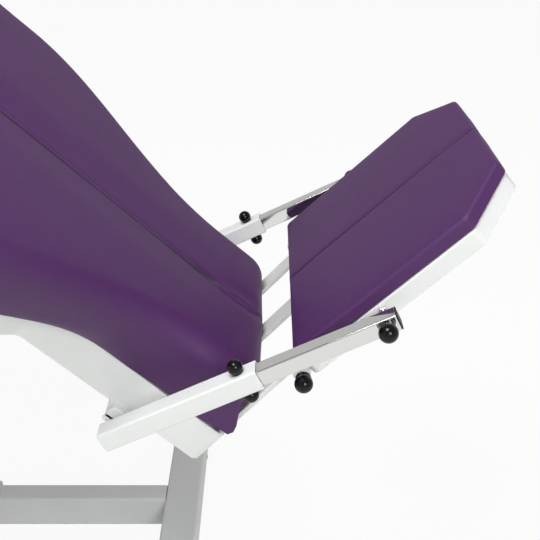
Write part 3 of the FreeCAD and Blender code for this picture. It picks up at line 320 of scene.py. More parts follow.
FINISHES["knob"] = moulded("phenolic_gloss_black", "#050806", "#080c09", 0.07, 0.14, 6, 0.02, IOR=1.5,
                           Specular_IOR_Level=0.3)
FINISHES["black_plastic"] = moulded("polyamide_black", "#141416", "#1b1b1d", 0.38, 0.5, 0.9, 0.05, IOR=1.53)
FINISHES["grey_plastic"] = moulded("abs_grey", "#85888b", "#8d9093", 0.42, 0.52, 0.9, 0.06, IOR=1.53)
FINISHES["pedal_rubber"] = moulded("pedal_rubber_grey", "#2e2f31", "#37383a", 0.6, 0.75, 1.2, 0.06, IOR=1.52)
FINISHES["rubber"] = moulded("tyre_rubber", "#1d1d1e", "#29292a", 0.62, 0.8, 1.5, 0.08, IOR=1.52)
# The board's near-black colour is painted shade: it stands for the dark shadow gap between the cushion's hem and
# the skirt.
FINISHES["board"] = moulded("black_board_painted_gap_shade", "#161413", "#221f1d", 0.55, 0.7, 2.5, 0.08, IOR=1.5)
FINISHES["circuit"] = moulded("circuit_laminate", "#0f4a26", "#17602f", 0.25, 0.35, 1.5, 0.03, IOR=1.55)
print("finishes", sorted(FINISHES))

for name, solid in frame["nodes"].items():
    for place in solid.material_slots:
        place.material = FINISHES[slots[name]]

# %% [markdown]
# The shapes are worked out as whole arrays of points. A bar could be a cube with a bevel, but one
# function that stacks rounded outlines gives bars, tubes and plates with even rims and clean quads.


# %% Shape helpers: outlines
def rounded_outline(corners, radius, steps=5):
    """A closed outline whose corners are arcs of a radius that touch both sides.

    The arc's centre lies on the bisector, radius over the sine of the half angle from the corner, and
    its points are the centre plus the radius times the cosine and sine of evenly spaced angles.
    """
    corners = np.asarray(corners, float)
    radius = np.broadcast_to(np.asarray(radius, float), len(corners))[:, None]
    back = np.roll(corners, 1, 0) - corners
    ahead = np.roll(corners, -1, 0) - corners
    back /= np.linalg.norm(back, axis=1, keepdims=True)
    ahead /= np.linalg.norm(ahead, axis=1, keepdims=True)
    half = np.arccos(np.clip((back * ahead).sum(1, keepdims=True), -1, 1)) / 2
    middle = back + ahead
    middle /= np.linalg.norm(middle, axis=1, keepdims=True)
    centre = corners + middle * radius / np.sin(half)
    start = corners + back * radius / np.tan(half) - centre
    end = corners + ahead * radius / np.tan(half) - centre
    first = np.arctan2(start[:, 1], start[:, 0])
    swing = (np.arctan2(end[:, 1], end[:, 0]) - first + math.pi) % (2 * math.pi) - math.pi
    angle = first[:, None] + swing[:, None] * np.linspace(0, 1, steps + 1)
    arcs = centre[:, None] + radius[:, None] * np.stack([np.cos(angle), np.sin(angle)], -1)
    return arcs.reshape(-1, 2)


def rectangle(low, high, radius, steps=4):
    """A rectangle between two corners, with round corners no larger than its sides allow."""
    (left, bottom), (right, top) = low, high
    radius = min(radius, 0.499 * (right - left), 0.499 * (top - bottom))
    return rounded_outline([(left, bottom), (right, bottom), (right, top), (left, top)], radius, steps)


def circle(radius, steps=48):
    """Points of a circle, evenly spaced."""
    angle = np.arange(steps) * 2 * math.pi / steps
    return radius * np.stack([np.cos(angle), np.sin(angle)], -1)


def outward(loop):
    """Normals of a closed outline: the chord between its neighbours, turned a quarter to the outside."""
    chord = np.roll(loop, -1, 0) - np.roll(loop, 1, 0)
    normal = np.stack([chord[:, 1], -chord[:, 0]], -1)
    normal /= np.linalg.norm(normal, axis=1, keepdims=True)
    following = np.roll(loop, -1, 0)
    turned_left = (loop[:, 0] * following[:, 1] - following[:, 0] * loop[:, 1]).sum() > 0
    return normal if turned_left else -normal


# %% [markdown]
# An outline becomes a piece when copies of it are stacked and joined by quads. A rim is then a few more
# copies, each drawn in a little, and a lathe piece is the same stack with circles.


# %% Shape helpers: skins
def grid_quads(rows, columns, wrap_rows=False, wrap_columns=False):
    """Corner numbers of the quads of a grid, whose last row or column may join the first."""
    row = np.arange(rows if wrap_rows else rows - 1)[:, None]
    column = np.arange(columns if wrap_columns else columns - 1)[None, :]
    below, beside = (row + 1) % rows, (column + 1) % columns
    here, under = row * columns, below * columns
    corners = (here + column, here + beside, under + beside, under + column)
    return np.stack(np.broadcast_arrays(*corners), -1).reshape(-1, 4)


def skin(rings, loop=False):
    """A closed skin over rings of points: quads between neighbours, and a flat face on each end ring.

    With loop, the last ring joins the first instead, as on a tube with a bore.
    """
    rows, columns = rings.shape[:2]
    faces = grid_quads(rows, columns, loop, True).tolist()
    if not loop:
        faces.append(list(range(columns)))
        faces.append(list(range((rows - 1) * columns, rows * columns)))
    return rings.reshape(-1, 3), faces


RIM_STEPS = 3


def stand(outline, height, along):
    """Puts an outline at a height along one axis; its own two axes are the other two, in order."""
    points = np.empty((len(outline), 3))
    points[:, [axis for axis in range(3) if axis != along]] = outline
    points[:, along] = height
    return points


def slab(outline, low, high, along, rim):
    """A plate of one outline between two heights, its rims rounded.

    At an angle up the rim the outline is drawn in by the rim radius times one minus the sine, and
    stands off the end by the rim radius times one minus the cosine.
    """
    turn = np.linspace(0, math.pi / 2, RIM_STEPS + 1)
    drawn, risen = rim * (1 - np.sin(turn)), rim * (1 - np.cos(turn))
    normal = outward(outline)
    start = [stand(outline - normal * inset, low + step, along) for inset, step in zip(drawn, risen)]
    end = [stand(outline - normal * inset, high - step, along) for inset, step in zip(drawn, risen)]
    return skin(np.array(start + end[::-1]))


def bar(low, high, along, corner, rim):
    """A bar between two corners with round edges along it and round rims at its ends."""
    others = [axis for axis in range(3) if axis != along]
    outline = rectangle(np.asarray(low)[others], np.asarray(high)[others], corner)
    return slab(outline, low[along], high[along], along, rim)


def tube(low, high, along, corner, wall):
    """A rectangular tube with a bore: out along the outside, over the lip and back along the bore."""
    others = [axis for axis in range(3) if axis != along]
    low, high, lip = np.asarray(low, float), np.asarray(high, float), wall / 4

    def ring(height, inset):
        shape = rectangle(low[others] + inset, high[others] - inset, max(corner - inset, lip))
        return stand(shape, height, along)

    start, end = low[along], high[along]
    rows = [(start + lip, 0), (end - lip, 0), (end, lip), (end, wall - lip), (end - lip, wall),
            (start + lip, wall), (start, wall - lip), (start, lip)]
    return skin(np.array([ring(height, inset) for height, inset in rows]), loop=True)


def turned(profile, centre, along, steps=48, way=1):
    """A piece turned on a lathe: each (radius, height) of the profile is a circle round the axis.

    Heights run from the centre along the axis, forwards or, with way at -1, backwards.
    """
    profile = np.asarray(profile, float)
    centre = np.asarray(centre, float)
    others = [axis for axis in range(3) if axis != along]
    ring = circle(1, steps)
    points = np.empty((len(profile), steps, 3))
    points[:, :, others] = centre[others] + profile[:, None, :1] * ring
    points[:, :, along] = centre[along] + way * profile[:, 1:]
    return skin(points)


def rim_profile(radius, length, rim, start_rim=None):
    """Profile of a round bar with round rims: a quarter circle at each end."""
    turn = np.linspace(0, math.pi / 2, RIM_STEPS + 1)
    first = rim if start_rim is None else start_rim
    start = np.stack([radius - first * (1 - np.sin(turn)), first * (1 - np.cos(turn))], -1)
    end = np.stack([radius - rim * (1 - np.sin(turn)), length - rim * (1 - np.cos(turn))], -1)
    return np.concatenate([start, end[::-1]])


# %% [markdown]
# Each finished piece takes the place of one solid and moves with that solid's body. One function gives it
# its mesh, finishes, smooth shading and body, so no piece can miss one of these.

# %% Piece maker
MERGE = 1e-6
SHARP_EDGE = math.radians(38)


def tidy_mesh(mesh):
    """Merges points that coincide, as at a pole, and turns the faces outwards."""
    work = bmesh.new()
    work.from_mesh(mesh)
    bmesh.ops.remove_doubles(work, verts=work.verts, dist=MERGE)
    bmesh.ops.recalc_face_normals(work, faces=work.faces)
    work.to_mesh(mesh)
    work.free()
    mesh.polygons.foreach_set("use_smooth", np.ones(len(mesh.polygons), bool))
    mesh.set_sharp_from_angle(angle=SHARP_EDGE)


def dress(node, place, shapes, others=()):
    """One finished piece for a solid: its shapes in that solid's finish, then other finishes' shapes.

    The points are carried from the place to the frame, so the piece's object stays at the origin.
    """
    coats = [(slots[node], shapes), *others]
    points, faces, coat_of_face, count = [], [], [], 0
    for coat, (_, group) in enumerate(coats):
        for local, corners in group:
            points.append(carry(local, place))
            faces += [[corner + count for corner in face] for face in corners]
            coat_of_face += [coat] * len(corners)
            count += len(local)
    mesh = bpy.data.meshes.new("dressed_" + node)
    mesh.from_pydata(np.concatenate(points).tolist(), [], faces)
    mesh.polygons.foreach_set("material_index", coat_of_face)
    for slot, _ in coats:
        mesh.materials.append(FINISHES[slot])
    tidy_mesh(mesh)
    piece = bpy.data.objects.new("dressed_" + node, mesh)
    bpy.context.scene.collection.objects.link(piece)
    even = piece.modifiers.new("even_flats", "WEIGHTED_NORMAL")
    even.keep_sharp = True
    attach(piece, bodies[node])
    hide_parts(node)
    print(piece.name, len(mesh.polygons), "faces")
    return piece


# %% [markdown]
# The main cushion is foam on a board under a sewn vinyl cover. It could be a scaled cube with a bevel,
# but its plan narrows to the ankles in a smooth curve and its edge keeps one round shoulder all the way.
# So its top is a grid of stations along the table and columns across it, and the height of each point
# follows from its distance to the outline.


# %% Padded form
def distance_to_outline(points, loop):
    """Least distance of points to a closed outline: to the nearest spot of each side, smallest of all."""
    start = loop.astype(np.float32)
    run = (np.roll(loop, -1, 0) - loop).astype(np.float32)
    apart = points.astype(np.float32)[:, None] - start
    share = np.clip((apart * run).sum(-1) / np.maximum((run * run).sum(-1), 1e-12), 0, 1)
    return np.linalg.norm(apart - share[..., None] * run, axis=-1).min(1).astype(float)


def padded_form(along, half, from_middle, fill, from_edge, height, wall):
    """A padded form over stations along it and half widths at them.

    Columns stand at set distances from the middle and from the edge, with even ones between. The top's
    height is a function of along, across and distance to the outline. The wall goes down from the top's
    rim through rows of (draw in, height), and strips across close the flat base.
    """
    inner = np.broadcast_to(from_middle, (len(along), len(from_middle)))
    outer = half[:, None] - from_edge[::-1]
    share = np.linspace(0, 1, fill + 2)[1:-1]
    between = inner[:, -1:] + (outer[:, :1] - inner[:, -1:]) * share
    right = np.concatenate([inner, between, outer], 1)
    across = np.concatenate([-right[:, :0:-1], right], 1)
    rows, columns = across.shape
    stations = np.broadcast_to(along[:, None], across.shape)
    loop = np.concatenate([np.stack([along, half], -1), np.stack([along, -half], -1)[::-1]])
    flat = np.stack([stations, across], -1).reshape(-1, 2)
    far = distance_to_outline(flat, loop).reshape(across.shape)
    top = np.stack([stations, across, height(stations, across, far)], -1).reshape(-1, 3)

    number = np.arange(rows * columns).reshape(rows, columns)
    rim = np.concatenate([number[0], number[1:-1, -1], number[-1, ::-1], number[-2:0:-1, 0]])
    normal = outward(top[rim, :2])
    down = [np.column_stack([top[rim, :2] - normal * draw, np.full(len(rim), level)]) for draw, level in wall]
    points = np.concatenate([top, *down])
    faces = grid_quads(rows, columns).tolist()
    ring = len(rim)
    base = rows * columns
    beside = np.roll(np.arange(ring), -1)
    faces += np.stack([rim, rim[beside], base + beside, base + np.arange(ring)], -1).tolist()
    below = grid_quads(len(wall), ring, False, True) + base
    faces += below.tolist()
    last = base + (len(wall) - 1) * ring
    right_side = last + np.arange(columns - 1, columns + rows - 1)
    left_side = last + np.concatenate([[0], np.arange(ring - 1, ring - rows + 1, -1), [ring - rows + 1]])
    left_side = left_side[:rows]
    faces.append([*range(last, last + columns), right_side[1], left_side[1]])
    strips = np.stack([left_side[1:-2], right_side[1:-2], right_side[2:-1], left_side[2:-1]], -1)
    faces += strips.tolist()
    far_end = list(range(last + columns + rows - 2, last + 2 * columns + rows - 2))
    faces.append([left_side[-2], right_side[-2], *far_end])
    return points, faces, {"rows": rows, "columns": columns, "top": rows * columns, "base": last}


def quarter(depth, radius):
    """Fall of a quarter circle at a depth from its edge: the radius at the edge, nothing past the radius."""
    inside = np.clip(radius - depth, 0, radius)
    return radius - np.sqrt(radius ** 2 - inside ** 2)


# %% [markdown]
# The cover is cut fuller than the board, so the cushion bulges at its shoulder and tucks in to the hem. The
# widths are those that the photograph shows through its camera, so at the ankles the shoulder stands out
# past the plain solid. The channel down the middle is a seam that pulls the cover into the foam.

# %% Sizes of the main cushion
ANKLE_HALF, TORSO_HALF = 184 * MM, cushion_high[1] + 5 * MM
SHOULDER_FLARE, HEM_FLARE = (110 * MM, 420 * MM), (197 * MM, 290 * MM)
FOOT_CORNER, HEAD_CORNER = 40 * MM, 110 * MM
SHOULDER = 32 * MM
VALLEY, VALLEY_HALF = 7 * MM, 95 * MM
SEAM_DEPTH, SEAM_HALF, SEAM_WIDENS = 18 * MM, 14 * MM, 110 * MM
SEAM_STOP, SEAM_FADE = 92 * MM, 26 * MM
DRAW, SIDE_TUCK = 2 * MM, 12 * MM
FOOT_END, HEAD_END = cushion_high[0], cushion_low[0]
SWELL = 1.5 * MM  # room left for the cover to swell in the simulation
CUSHION_FILL = 16  # columns between those at the seam and those at the edge
TUCK_FROM = 80 * MM  # the side tuck fades out nearer to the middle than this
CORNER_SQUARE = 0.8  # share of the way from a round corner to a square one, at the hem
FOLD_OUT, FOLD_SIDE, FOLD_RISE, FOLD_LONG = 22 * MM, 9 * MM, 6 * MM, 90 * MM
FOLD_FULL, FOLD_ROUND = 0.7, 0.75  # share of the wall's height where it is fullest, and how far it rounds in
FOLD_FROM, FOLD_BLEND = 150 * MM, 10 * MM
ARMS_OUTSIDE = span("footplate_arms", "table")[1][1] + 2 * MM
print("width at the shoulder in mm: ankles", round(2 * ANKLE_HALF / MM), "torso", round(2 * TORSO_HALF / MM))

# %% [markdown]
# Seen from above, the cushion keeps one width at the ankles and then flares in half a cosine wave. Its top is
# flat foam that a seam pulls down along the middle.


# %% Main cushion's plan and top
def ease(share):
    """Smooth step from 0 to 1: three times the square less twice the cube."""
    share = np.clip(share, 0, 1)
    return share * share * (3 - 2 * share)


def plain_half(along, flare):
    """Half width without the round ends: ankle width, then half a cosine wave up to the torso width."""
    start, length = flare
    share = np.clip((FOOT_END - start - along) / length, 0, 1)
    return ANKLE_HALF + (TORSO_HALF - ANKLE_HALF) * (1 - np.cos(math.pi * share)) / 2


def cushion_half(along):
    """Half width at the shoulder, with round plan corners at both ends."""
    corners = quarter(FOOT_END - along, FOOT_CORNER) + quarter(along - HEAD_END, HEAD_CORNER)
    return plain_half(along, SHOULDER_FLARE) - corners


def cushion_stations():
    """Stations from foot to head: close along the round ends, even between them."""
    turn = np.linspace(0, math.pi / 2, 15)
    foot = FOOT_END - FOOT_CORNER * (1 - np.cos(turn))
    head = HEAD_END + HEAD_CORNER * (1 - np.cos(turn))[::-1]
    even = np.linspace(foot[-1], head[0], 150)[1:-1]
    return np.concatenate([foot, even, head])


def sewn_share(along, across):
    """Share of the channel's depth: half a cosine wave from its lip to the seam.

    It is narrow at the head, widens towards its foot end as a bell curve of the distance, and then closes
    short of the cushion's end.
    """
    to_stop = FOOT_END - SEAM_STOP - along
    width = SEAM_HALF * (0.55 + 0.45 * np.exp(-(to_stop / SEAM_WIDENS) ** 2))
    return ease(to_stop / SEAM_FADE) * (1 + np.cos(math.pi * np.clip(np.abs(across) / width, 0, 1))) / 2


def cushion_height(along, across, far):
    """Flat top less the round shoulder, a wide valley along the middle and the sewn channel in it."""
    to_stop = FOOT_END - SEAM_STOP - along
    valley = VALLEY * ease(to_stop / (4 * SEAM_FADE) + 0.5) * (1 - ease(np.abs(across) / VALLEY_HALF))
    return cushion_high[2] - SWELL - quarter(far, SHOULDER) - valley - SEAM_DEPTH * sewn_share(along, across)


print("half width in mm at the foot, ankles and torso",
      np.round(cushion_half(FOOT_END - np.array([0, 0.1, 0.9])) / MM, 1))

# %% [markdown]
# Under the shoulder the cover goes down the side and round the edge of the board, where it is stapled. At the
# foot corners the spare cover is folded over, so they are fuller than the rest and stand out beside the arms.

# %% Main cushion's wall
shoulder_turn = np.linspace(0, math.pi / 2, 11)
cushion_edge_columns = SHOULDER * (1 - np.cos(shoulder_turn))
cushion_middle_columns = np.array([0, 1, 2, 3, 4, 5, 6, 7.5, 9, 11, 15, 22]) * MM
wall_share = np.linspace(0, 1, 7)[1:]
rim_height = cushion_high[2] - SWELL - SHOULDER
hem = cushion_low[2] - 5 * MM
wall_fall = hem + 1.5 * MM - rim_height
cushion_wall = [(DRAW * share ** 2, rim_height + wall_fall * share) for share in wall_share]
cushion_wall += [(DRAW + 1 * MM, hem), (DRAW + 4 * MM, hem), (DRAW + 6 * MM, hem + 1.5 * MM),
                 (DRAW + 7 * MM, cushion_low[2])]
stations = cushion_stations()
form_points, form_faces, form_parts = padded_form(
    stations, cushion_half(stations), cushion_middle_columns, CUSHION_FILL, cushion_edge_columns,
    cushion_height, cushion_wall)
wall_points = form_points[form_parts["top"]:]
wall_depth = np.clip((rim_height - wall_points[:, 2]) / (rim_height - hem), 0, 1) ** 2
bulge = SIDE_TUCK + plain_half(wall_points[:, 0], SHOULDER_FLARE) - plain_half(wall_points[:, 0], HEM_FLARE)
bulge *= np.clip(np.abs(wall_points[:, 1]) / TUCK_FROM, 0, 1)
wall_points[:, 1] -= np.sign(wall_points[:, 1]) * wall_depth * bulge


def square_corners(points, depth, tuck):
    """Draws the round foot corners out towards the board's square ones, more with depth.

    From the arc's centre, a point's distance grows from the radius towards the radius over the larger of
    the cosine and sine of its angle, which is the square's own edge.
    """
    inside = np.array([FOOT_END - FOOT_CORNER, 0.0])
    reach = np.abs(points[:, :2]) * [0, 1] + points[:, :2] * [1, 0] - inside
    reach[:, 1] -= ANKLE_HALF - FOOT_CORNER - tuck * depth
    round_part = (reach > 0).all(1)
    longest = np.maximum(reach.max(1), 1e-6)
    grow = 1 + CORNER_SQUARE * depth * np.clip(np.linalg.norm(reach, axis=1) / longest - 1, 0, 0.5)
    shift = reach * (grow - 1)[:, None] * round_part[:, None]
    points[:, 0] += shift[:, 0]
    points[:, 1] += np.sign(points[:, 1]) * shift[:, 1]


def fold_corners(points, depth):
    """Fills out the foot corners, where the cover is folded over and stands out past the arms' sides.

    Each push is a length times smooth steps: sideways near the end, then forwards and up in the strip that
    lies outside the arms. Down the wall the fold fills by a smooth step, and below its fullest place it
    rounds in along part of a circle.
    """
    down = np.sqrt(depth)
    past_full = np.clip((down - FOLD_FULL) / (1 - FOLD_FULL), 0, 1)
    full = ease(down / FOLD_FULL) * np.sqrt(1 - FOLD_ROUND * past_full ** 2)
    near_end = ease((points[:, 0] - FOOT_END + FOLD_LONG) / FOLD_LONG)
    sideways = FOLD_SIDE * depth * near_end * ease((np.abs(points[:, 1]) - FOLD_FROM) / FOLD_BLEND)
    points[:, 1] += np.sign(points[:, 1]) * sideways
    strip = ease((np.abs(points[:, 1]) - ARMS_OUTSIDE) / FOLD_BLEND)
    share = strip * ease((points[:, 0] - FOOT_END + FOOT_CORNER) / FOOT_CORNER)
    points[:, 0] += FOLD_OUT * share * full
    points[:, 2] += FOLD_RISE * share * past_full ** 2


square_corners(wall_points, wall_depth, SIDE_TUCK)
fold_corners(wall_points, wall_depth)
print("arms end", round(ARMS_OUTSIDE / MM, 1), "mm from the middle, folded corners reach",
      round((wall_points[:, 0].max() - FOOT_END) / MM, 1), "mm past the cushion's end")
print("cushion grid", form_parts["rows"], "by", form_parts["columns"])

# %% [markdown]
# Foam pushes the cover out between the places where it is sewn or stapled. That swell could be drawn
# by hand, but a short cloth run does it as the real cover does: the seam and the base are held, air
# pressure stands for the foam, and how far any point may move has a cap.


# %% Swell of a cover
SWELL_FRAMES = 20


def swell(piece, held, cap, pressure=4.0):
    """Runs cloth under pressure with some points held, then keeps each point's move up to a cap."""
    mesh = piece.data
    pins = piece.vertex_groups.new(name="seam_hold_and_shade")
    pins.add([int(point) for point in held], 1.0, "REPLACE")
    cloth = piece.modifiers.new("cover", "CLOTH")
    settings = cloth.settings
    settings.quality = 6
    settings.mass = 0.4
    settings.tension_stiffness = settings.compression_stiffness = 40
    settings.shear_stiffness = 20
    settings.bending_stiffness = 8
    settings.use_pressure = True
    settings.uniform_pressure_force = pressure
    settings.vertex_group_mass = "seam_hold_and_shade"
    settings.effector_weights.gravity = 0
    cloth.point_cache.frame_end = SWELL_FRAMES
    scene = bpy.context.scene
    for moment in range(1, SWELL_FRAMES + 1):
        scene.frame_set(moment)
    view = bpy.context.evaluated_depsgraph_get()
    moved = piece.evaluated_get(view).to_mesh()
    after, before = np.empty(len(mesh.vertices) * 3), np.empty(len(mesh.vertices) * 3)
    moved.vertices.foreach_get("co", after)
    mesh.vertices.foreach_get("co", before)
    shift = (after - before).reshape(-1, 3)
    length = np.linalg.norm(shift, axis=1, keepdims=True)
    shift *= np.tanh(length / cap) * cap / np.maximum(length, 1e-9)
    piece.evaluated_get(view).to_mesh_clear()
    piece.modifiers.remove(cloth)
    piece.vertex_groups.remove(pins)
    scene.frame_set(1)
    mesh.vertices.foreach_set("co", (before.reshape(-1, 3) + shift).ravel())
    mesh.update()
    print(piece.name, "swells by up to", round(float(np.linalg.norm(shift, axis=1).max() / MM), 2), "mm")


cushion = dress("main_cushion", "table", [(form_points, form_faces)])
sewn_rows = np.flatnonzero(stations < FOOT_END - SEAM_STOP - SEAM_FADE / 2)
seam_points = sewn_rows * form_parts["columns"] + form_parts["columns"] // 2
base_points = np.arange(form_parts["base"], len(form_points))
swell(cushion, np.concatenate([seam_points, base_points]), 3 * MM)


def paint_seam_shade(piece, share):
    """Keeps how deep each point lies in a seam, for the finish, which paints shade into the seam's crease there.
    """
    marks = piece.data.attributes.new("seam_hold_and_shade", "FLOAT", "POINT")
    marks.data.foreach_set("value", np.asarray(share, np.float32))


on_top = np.arange(len(form_points)) < form_parts["top"]
# The top's seam share, four times over and capped at one, sets where painted shade darkens the cover.
paint_seam_shade(cushion, np.where(on_top, np.clip(4 * sewn_share(form_points[:, 0], form_points[:, 1]), 0, 1), 0))

# %% [markdown]
# The footplate's pad is thinner and firmer. Its sides stand square to the face, as the foam was cut, its
# toe corners are cut off, and one sewn line runs from heel to toe. It is the same padded form with
# another outline and a tighter edge.

# %% Footplate pad
pad_low, pad_high = span("footplate_pad", "foot")
PLATE_HALF, HEEL_CUT = pad_high[1], 7 * MM
TOE_ACROSS, TOE_ALONG = 68 * MM, 65 * MM
HEEL_EDGE, TOE_EDGE = pad_low[2], pad_high[2]
PAD_CORNER = 14 * MM
PAD_EDGE, PAD_OVERHANG = 5 * MM, 4 * MM
PAD_CROWN, PAD_CROWN_WIDTH = 1.5 * MM, 70 * MM
PAD_SEAM_DEPTH, PAD_SEAM_HALF = 5 * MM, 2.6 * MM
PAD_BACK, PAD_FACE = -pad_high[0], -pad_low[0]
PAD_FILL = 10  # columns between those at the seam and those at the edge


def plate_corners(inset, past_toe=0.0):
    """Corners of the footplate, counter-clockwise on (across, along), drawn in by an inset.

    The pad runs on past the toe a little.
    """
    half, heel, toe = PLATE_HALF - inset, HEEL_EDGE + inset, TOE_EDGE - inset + past_toe
    right = [(half - HEEL_CUT, heel), (half, heel + HEEL_CUT),
             (half, toe - TOE_ALONG), (half - TOE_ACROSS, toe)]
    return np.array(right + [(-across, along) for across, along in right[::-1]])


def plate_outline(inset=0.0, corner=PAD_CORNER, past_toe=0.0):
    """The footplate's outline with round corners."""
    small = min(corner, HEEL_CUT)
    radius = np.array([small, small, corner, corner, corner, corner, small, small])
    return rounded_outline(plate_corners(inset, past_toe), radius, 6)


def pad_half():
    """Stations from heel to toe and the half widths there, read off the right side of the outline."""
    outline = plate_outline(past_toe=PAD_OVERHANG)
    right = outline[:len(outline) // 2]
    along = np.unique(np.concatenate([right[:, 1], np.linspace(HEEL_EDGE, TOE_EDGE, 70)]).round(6))
    order = np.argsort(right[:, 1], kind="stable")
    return along, np.interp(along, right[order, 1], right[order, 0])


def pad_sewn_share(across):
    """Share of the sewn line's depth: half a cosine wave from its lip to the seam."""
    return (1 + np.cos(math.pi * np.clip(np.abs(across) / PAD_SEAM_HALF, 0, 1))) / 2


def pad_height(along, across, far):
    """Low crown and a small round edge less the sewn line."""
    crown = PAD_CROWN * (ease(far / PAD_CROWN_WIDTH) - 1)
    return PAD_FACE + crown - quarter(far, PAD_EDGE) - PAD_SEAM_DEPTH * pad_sewn_share(across)


pad_along, pad_halves = pad_half()
pad_edge_columns = np.array([0, 0.1, 0.4, 0.9, 1.7, 3, 5, 9, 15, 24, 36]) * MM
pad_middle_columns = np.array([0, 0.2, 0.6, 1.2, 1.9, 2.6, 4, 8]) * MM
pad_rim = PAD_FACE - PAD_CROWN - PAD_EDGE
pad_wall = [(0.0, pad_rim - 0.5 * MM), (0.0, pad_rim - 4 * MM), (0.0, pad_rim - 8 * MM),
            (0.6 * MM, PAD_BACK + 1 * MM), (2.2 * MM, PAD_BACK)]
flat_points, pad_faces, pad_parts = padded_form(
    pad_along, pad_halves, pad_middle_columns, PAD_FILL, pad_edge_columns, pad_height, pad_wall)
pad_points = np.stack([-flat_points[:, 2], flat_points[:, 1], flat_points[:, 0]], -1)
pad = dress("footplate_pad", "foot", [(pad_points, pad_faces)])
pad_seam = np.arange(pad_parts["rows"]) * pad_parts["columns"] + pad_parts["columns"] // 2
swell(pad, np.concatenate([pad_seam, np.arange(pad_parts["base"], len(pad_points))]), 0.8 * MM)
on_face = np.arange(len(pad_points)) < pad_parts["top"]
# The pad's sewn line gets the same painted shade, from twice its seam share capped at one.
paint_seam_shade(pad, np.where(on_face, np.clip(2 * pad_sewn_share(pad_points[:, 1]), 0, 1), 0))

# %% [markdown]
# The footplate's tray is folded sheet, open at the back. Its skin runs over the rolled front edge, back
# along the sides, over the rim and in again, so both walls are there and the sheet's thickness shows.

# %% Footplate tray
tray_boxes = solid_boxes("footplate_tray", "foot")
tray_low, tray_high = max(tray_boxes, key=lambda box: box[1][2] - box[0][2])
TRAY_SHEET, TRAY_FOLD = 2 * MM, 3 * MM


def tray_shell():
    """Rings of the outline: a quarter round at the front fold, a small round on the rim, and the inside."""
    turn = np.linspace(0, math.pi / 2, 5)
    fold = [(TRAY_FOLD * (1 - math.sin(t)), tray_low[0] + TRAY_FOLD * (1 - math.cos(t))) for t in turn]
    lip = TRAY_SHEET / 3
    rim = [(0, tray_high[0] - lip), (lip, tray_high[0]), (TRAY_SHEET - lip, tray_high[0]),
           (TRAY_SHEET, tray_high[0] - lip)]
    floor = tray_low[0] + TRAY_SHEET
    inside = [(TRAY_SHEET + TRAY_FOLD * (1 - math.cos(t)), floor + TRAY_FOLD * (1 - math.sin(t)))
              for t in turn]
    rings = [stand(plate_outline(inset, PAD_CORNER), forward, 0) for inset, forward in fold + rim + inside]
    return skin(np.array(rings))


def ear(low, high):
    """A lug under the tray with a round end about the hinge rod."""
    outline = rectangle(low[[0, 2]], high[[0, 2]], 6 * MM, 6)
    return slab(outline, low[1], high[1], 1, 0.6 * MM)


ears = [ear(low, high) for low, high in tray_boxes if high[1] - low[1] < 20 * MM]
dress("footplate_tray", "foot", [tray_shell(), *ears])

# %% [markdown]
# Each brace is a square tube that slides in another. The outer one is powder coated and open at both
# ends, so it has a real bore; the inner one is chromed, and a black plug closes it. The folded corners of
# such tubes are small rounds that catch a line of light.

# %% Braces
TUBE_CORNER, OUTER_WALL = 2.8 * MM, 2 * MM
INNER_CORNER, INNER_WALL = 2.0 * MM, 1.5 * MM
for side in SIDES:
    place = f"brace_{side}"
    low, high = span(f"brace_outer_{side}", place)
    dress(f"brace_outer_{side}", place, [tube(low, high, 2, TUBE_CORNER, OUTER_WALL)])
    low, high = span(f"brace_inner_{side}", place)
    dress(f"brace_inner_{side}", place, [tube(low, high, 2, INNER_CORNER, INNER_WALL)])
    tube_end = high[2]
    low, high = span(f"brace_plug_{side}", place)
    head = bar((low[0], low[1], tube_end), high, 2, INNER_CORNER, 0.8 * MM)
    inset = INNER_WALL + 0.1 * MM
    core = bar((low[0] + inset, low[1] + inset, low[2]), (high[0] - inset, high[1] - inset, tube_end),
               2, 1 * MM, 0.5 * MM)
    dress(f"brace_plug_{side}", place, [head, core])

# %% [markdown]
# The clamp and pivot knobs are small phenolic balls with a neck, turned in one profile: the neck's foot,
# its side, and the ball up to its pole. They are as glossy as glass, so the profile needs many steps.


# %% Ball knobs
KNOB_STEPS = 40


def ball_knob(node, place, along, neck_share, reach):
    """Ball and neck on one axis: from the pole over the ball to where the neck meets it, then straight down.

    The neck's radius is a share of the ball's, and the reach is from the pole to the clamped face.
    """
    low, high = span(node, place)
    others = [axis for axis in range(3) if axis != along]
    radius = (high - low)[others].max() / 2
    middle = (low + high) / 2
    outside = 1 if middle[along] > 0 else -1
    tip = high[along] if outside > 0 else low[along]
    neck = neck_share * radius
    meets = math.pi - math.asin(neck_share)
    angle = np.linspace(0, meets, KNOB_STEPS)
    ball = np.stack([radius * np.sin(angle), radius * (1 - np.cos(angle))], -1)
    rim = 0.8 * MM
    foot = [(neck * 0.985, ball[-1, 1] + 0.8 * MM), (neck * 0.99, reach - rim),
            (neck - 0.3 * rim, reach - 0.3 * rim), (neck - rim, reach)]
    profile = np.concatenate([ball, foot])
    centre = middle.copy()
    centre[along] = tip
    return turned(profile, centre, along, 56, -outside)


for side in SIDES:
    for end in ("top", "low"):
        node = f"clamp_knob_{end}_{side}"
        dress(node, f"brace_{side}", [ball_knob(node, f"brace_{side}", 0, 0.8, 18.3 * MM)])
    for name in ("brace", "heel"):
        node = f"{name}_knob_{side}"
        dress(node, "foot", [ball_knob(node, "foot", 1, 0.88, 24.4 * MM)])

# %% [markdown]
# The skirt is one sheet folded round the frame under the cushion. It could be extruded from a line, but
# then its bends would be knife edges. Here the line's corners are arcs first, and the sheet's section is
# carried along that line, square to it.


# %% Skirt
BEND, SHEET_RIM = 9 * MM, 0.7 * MM


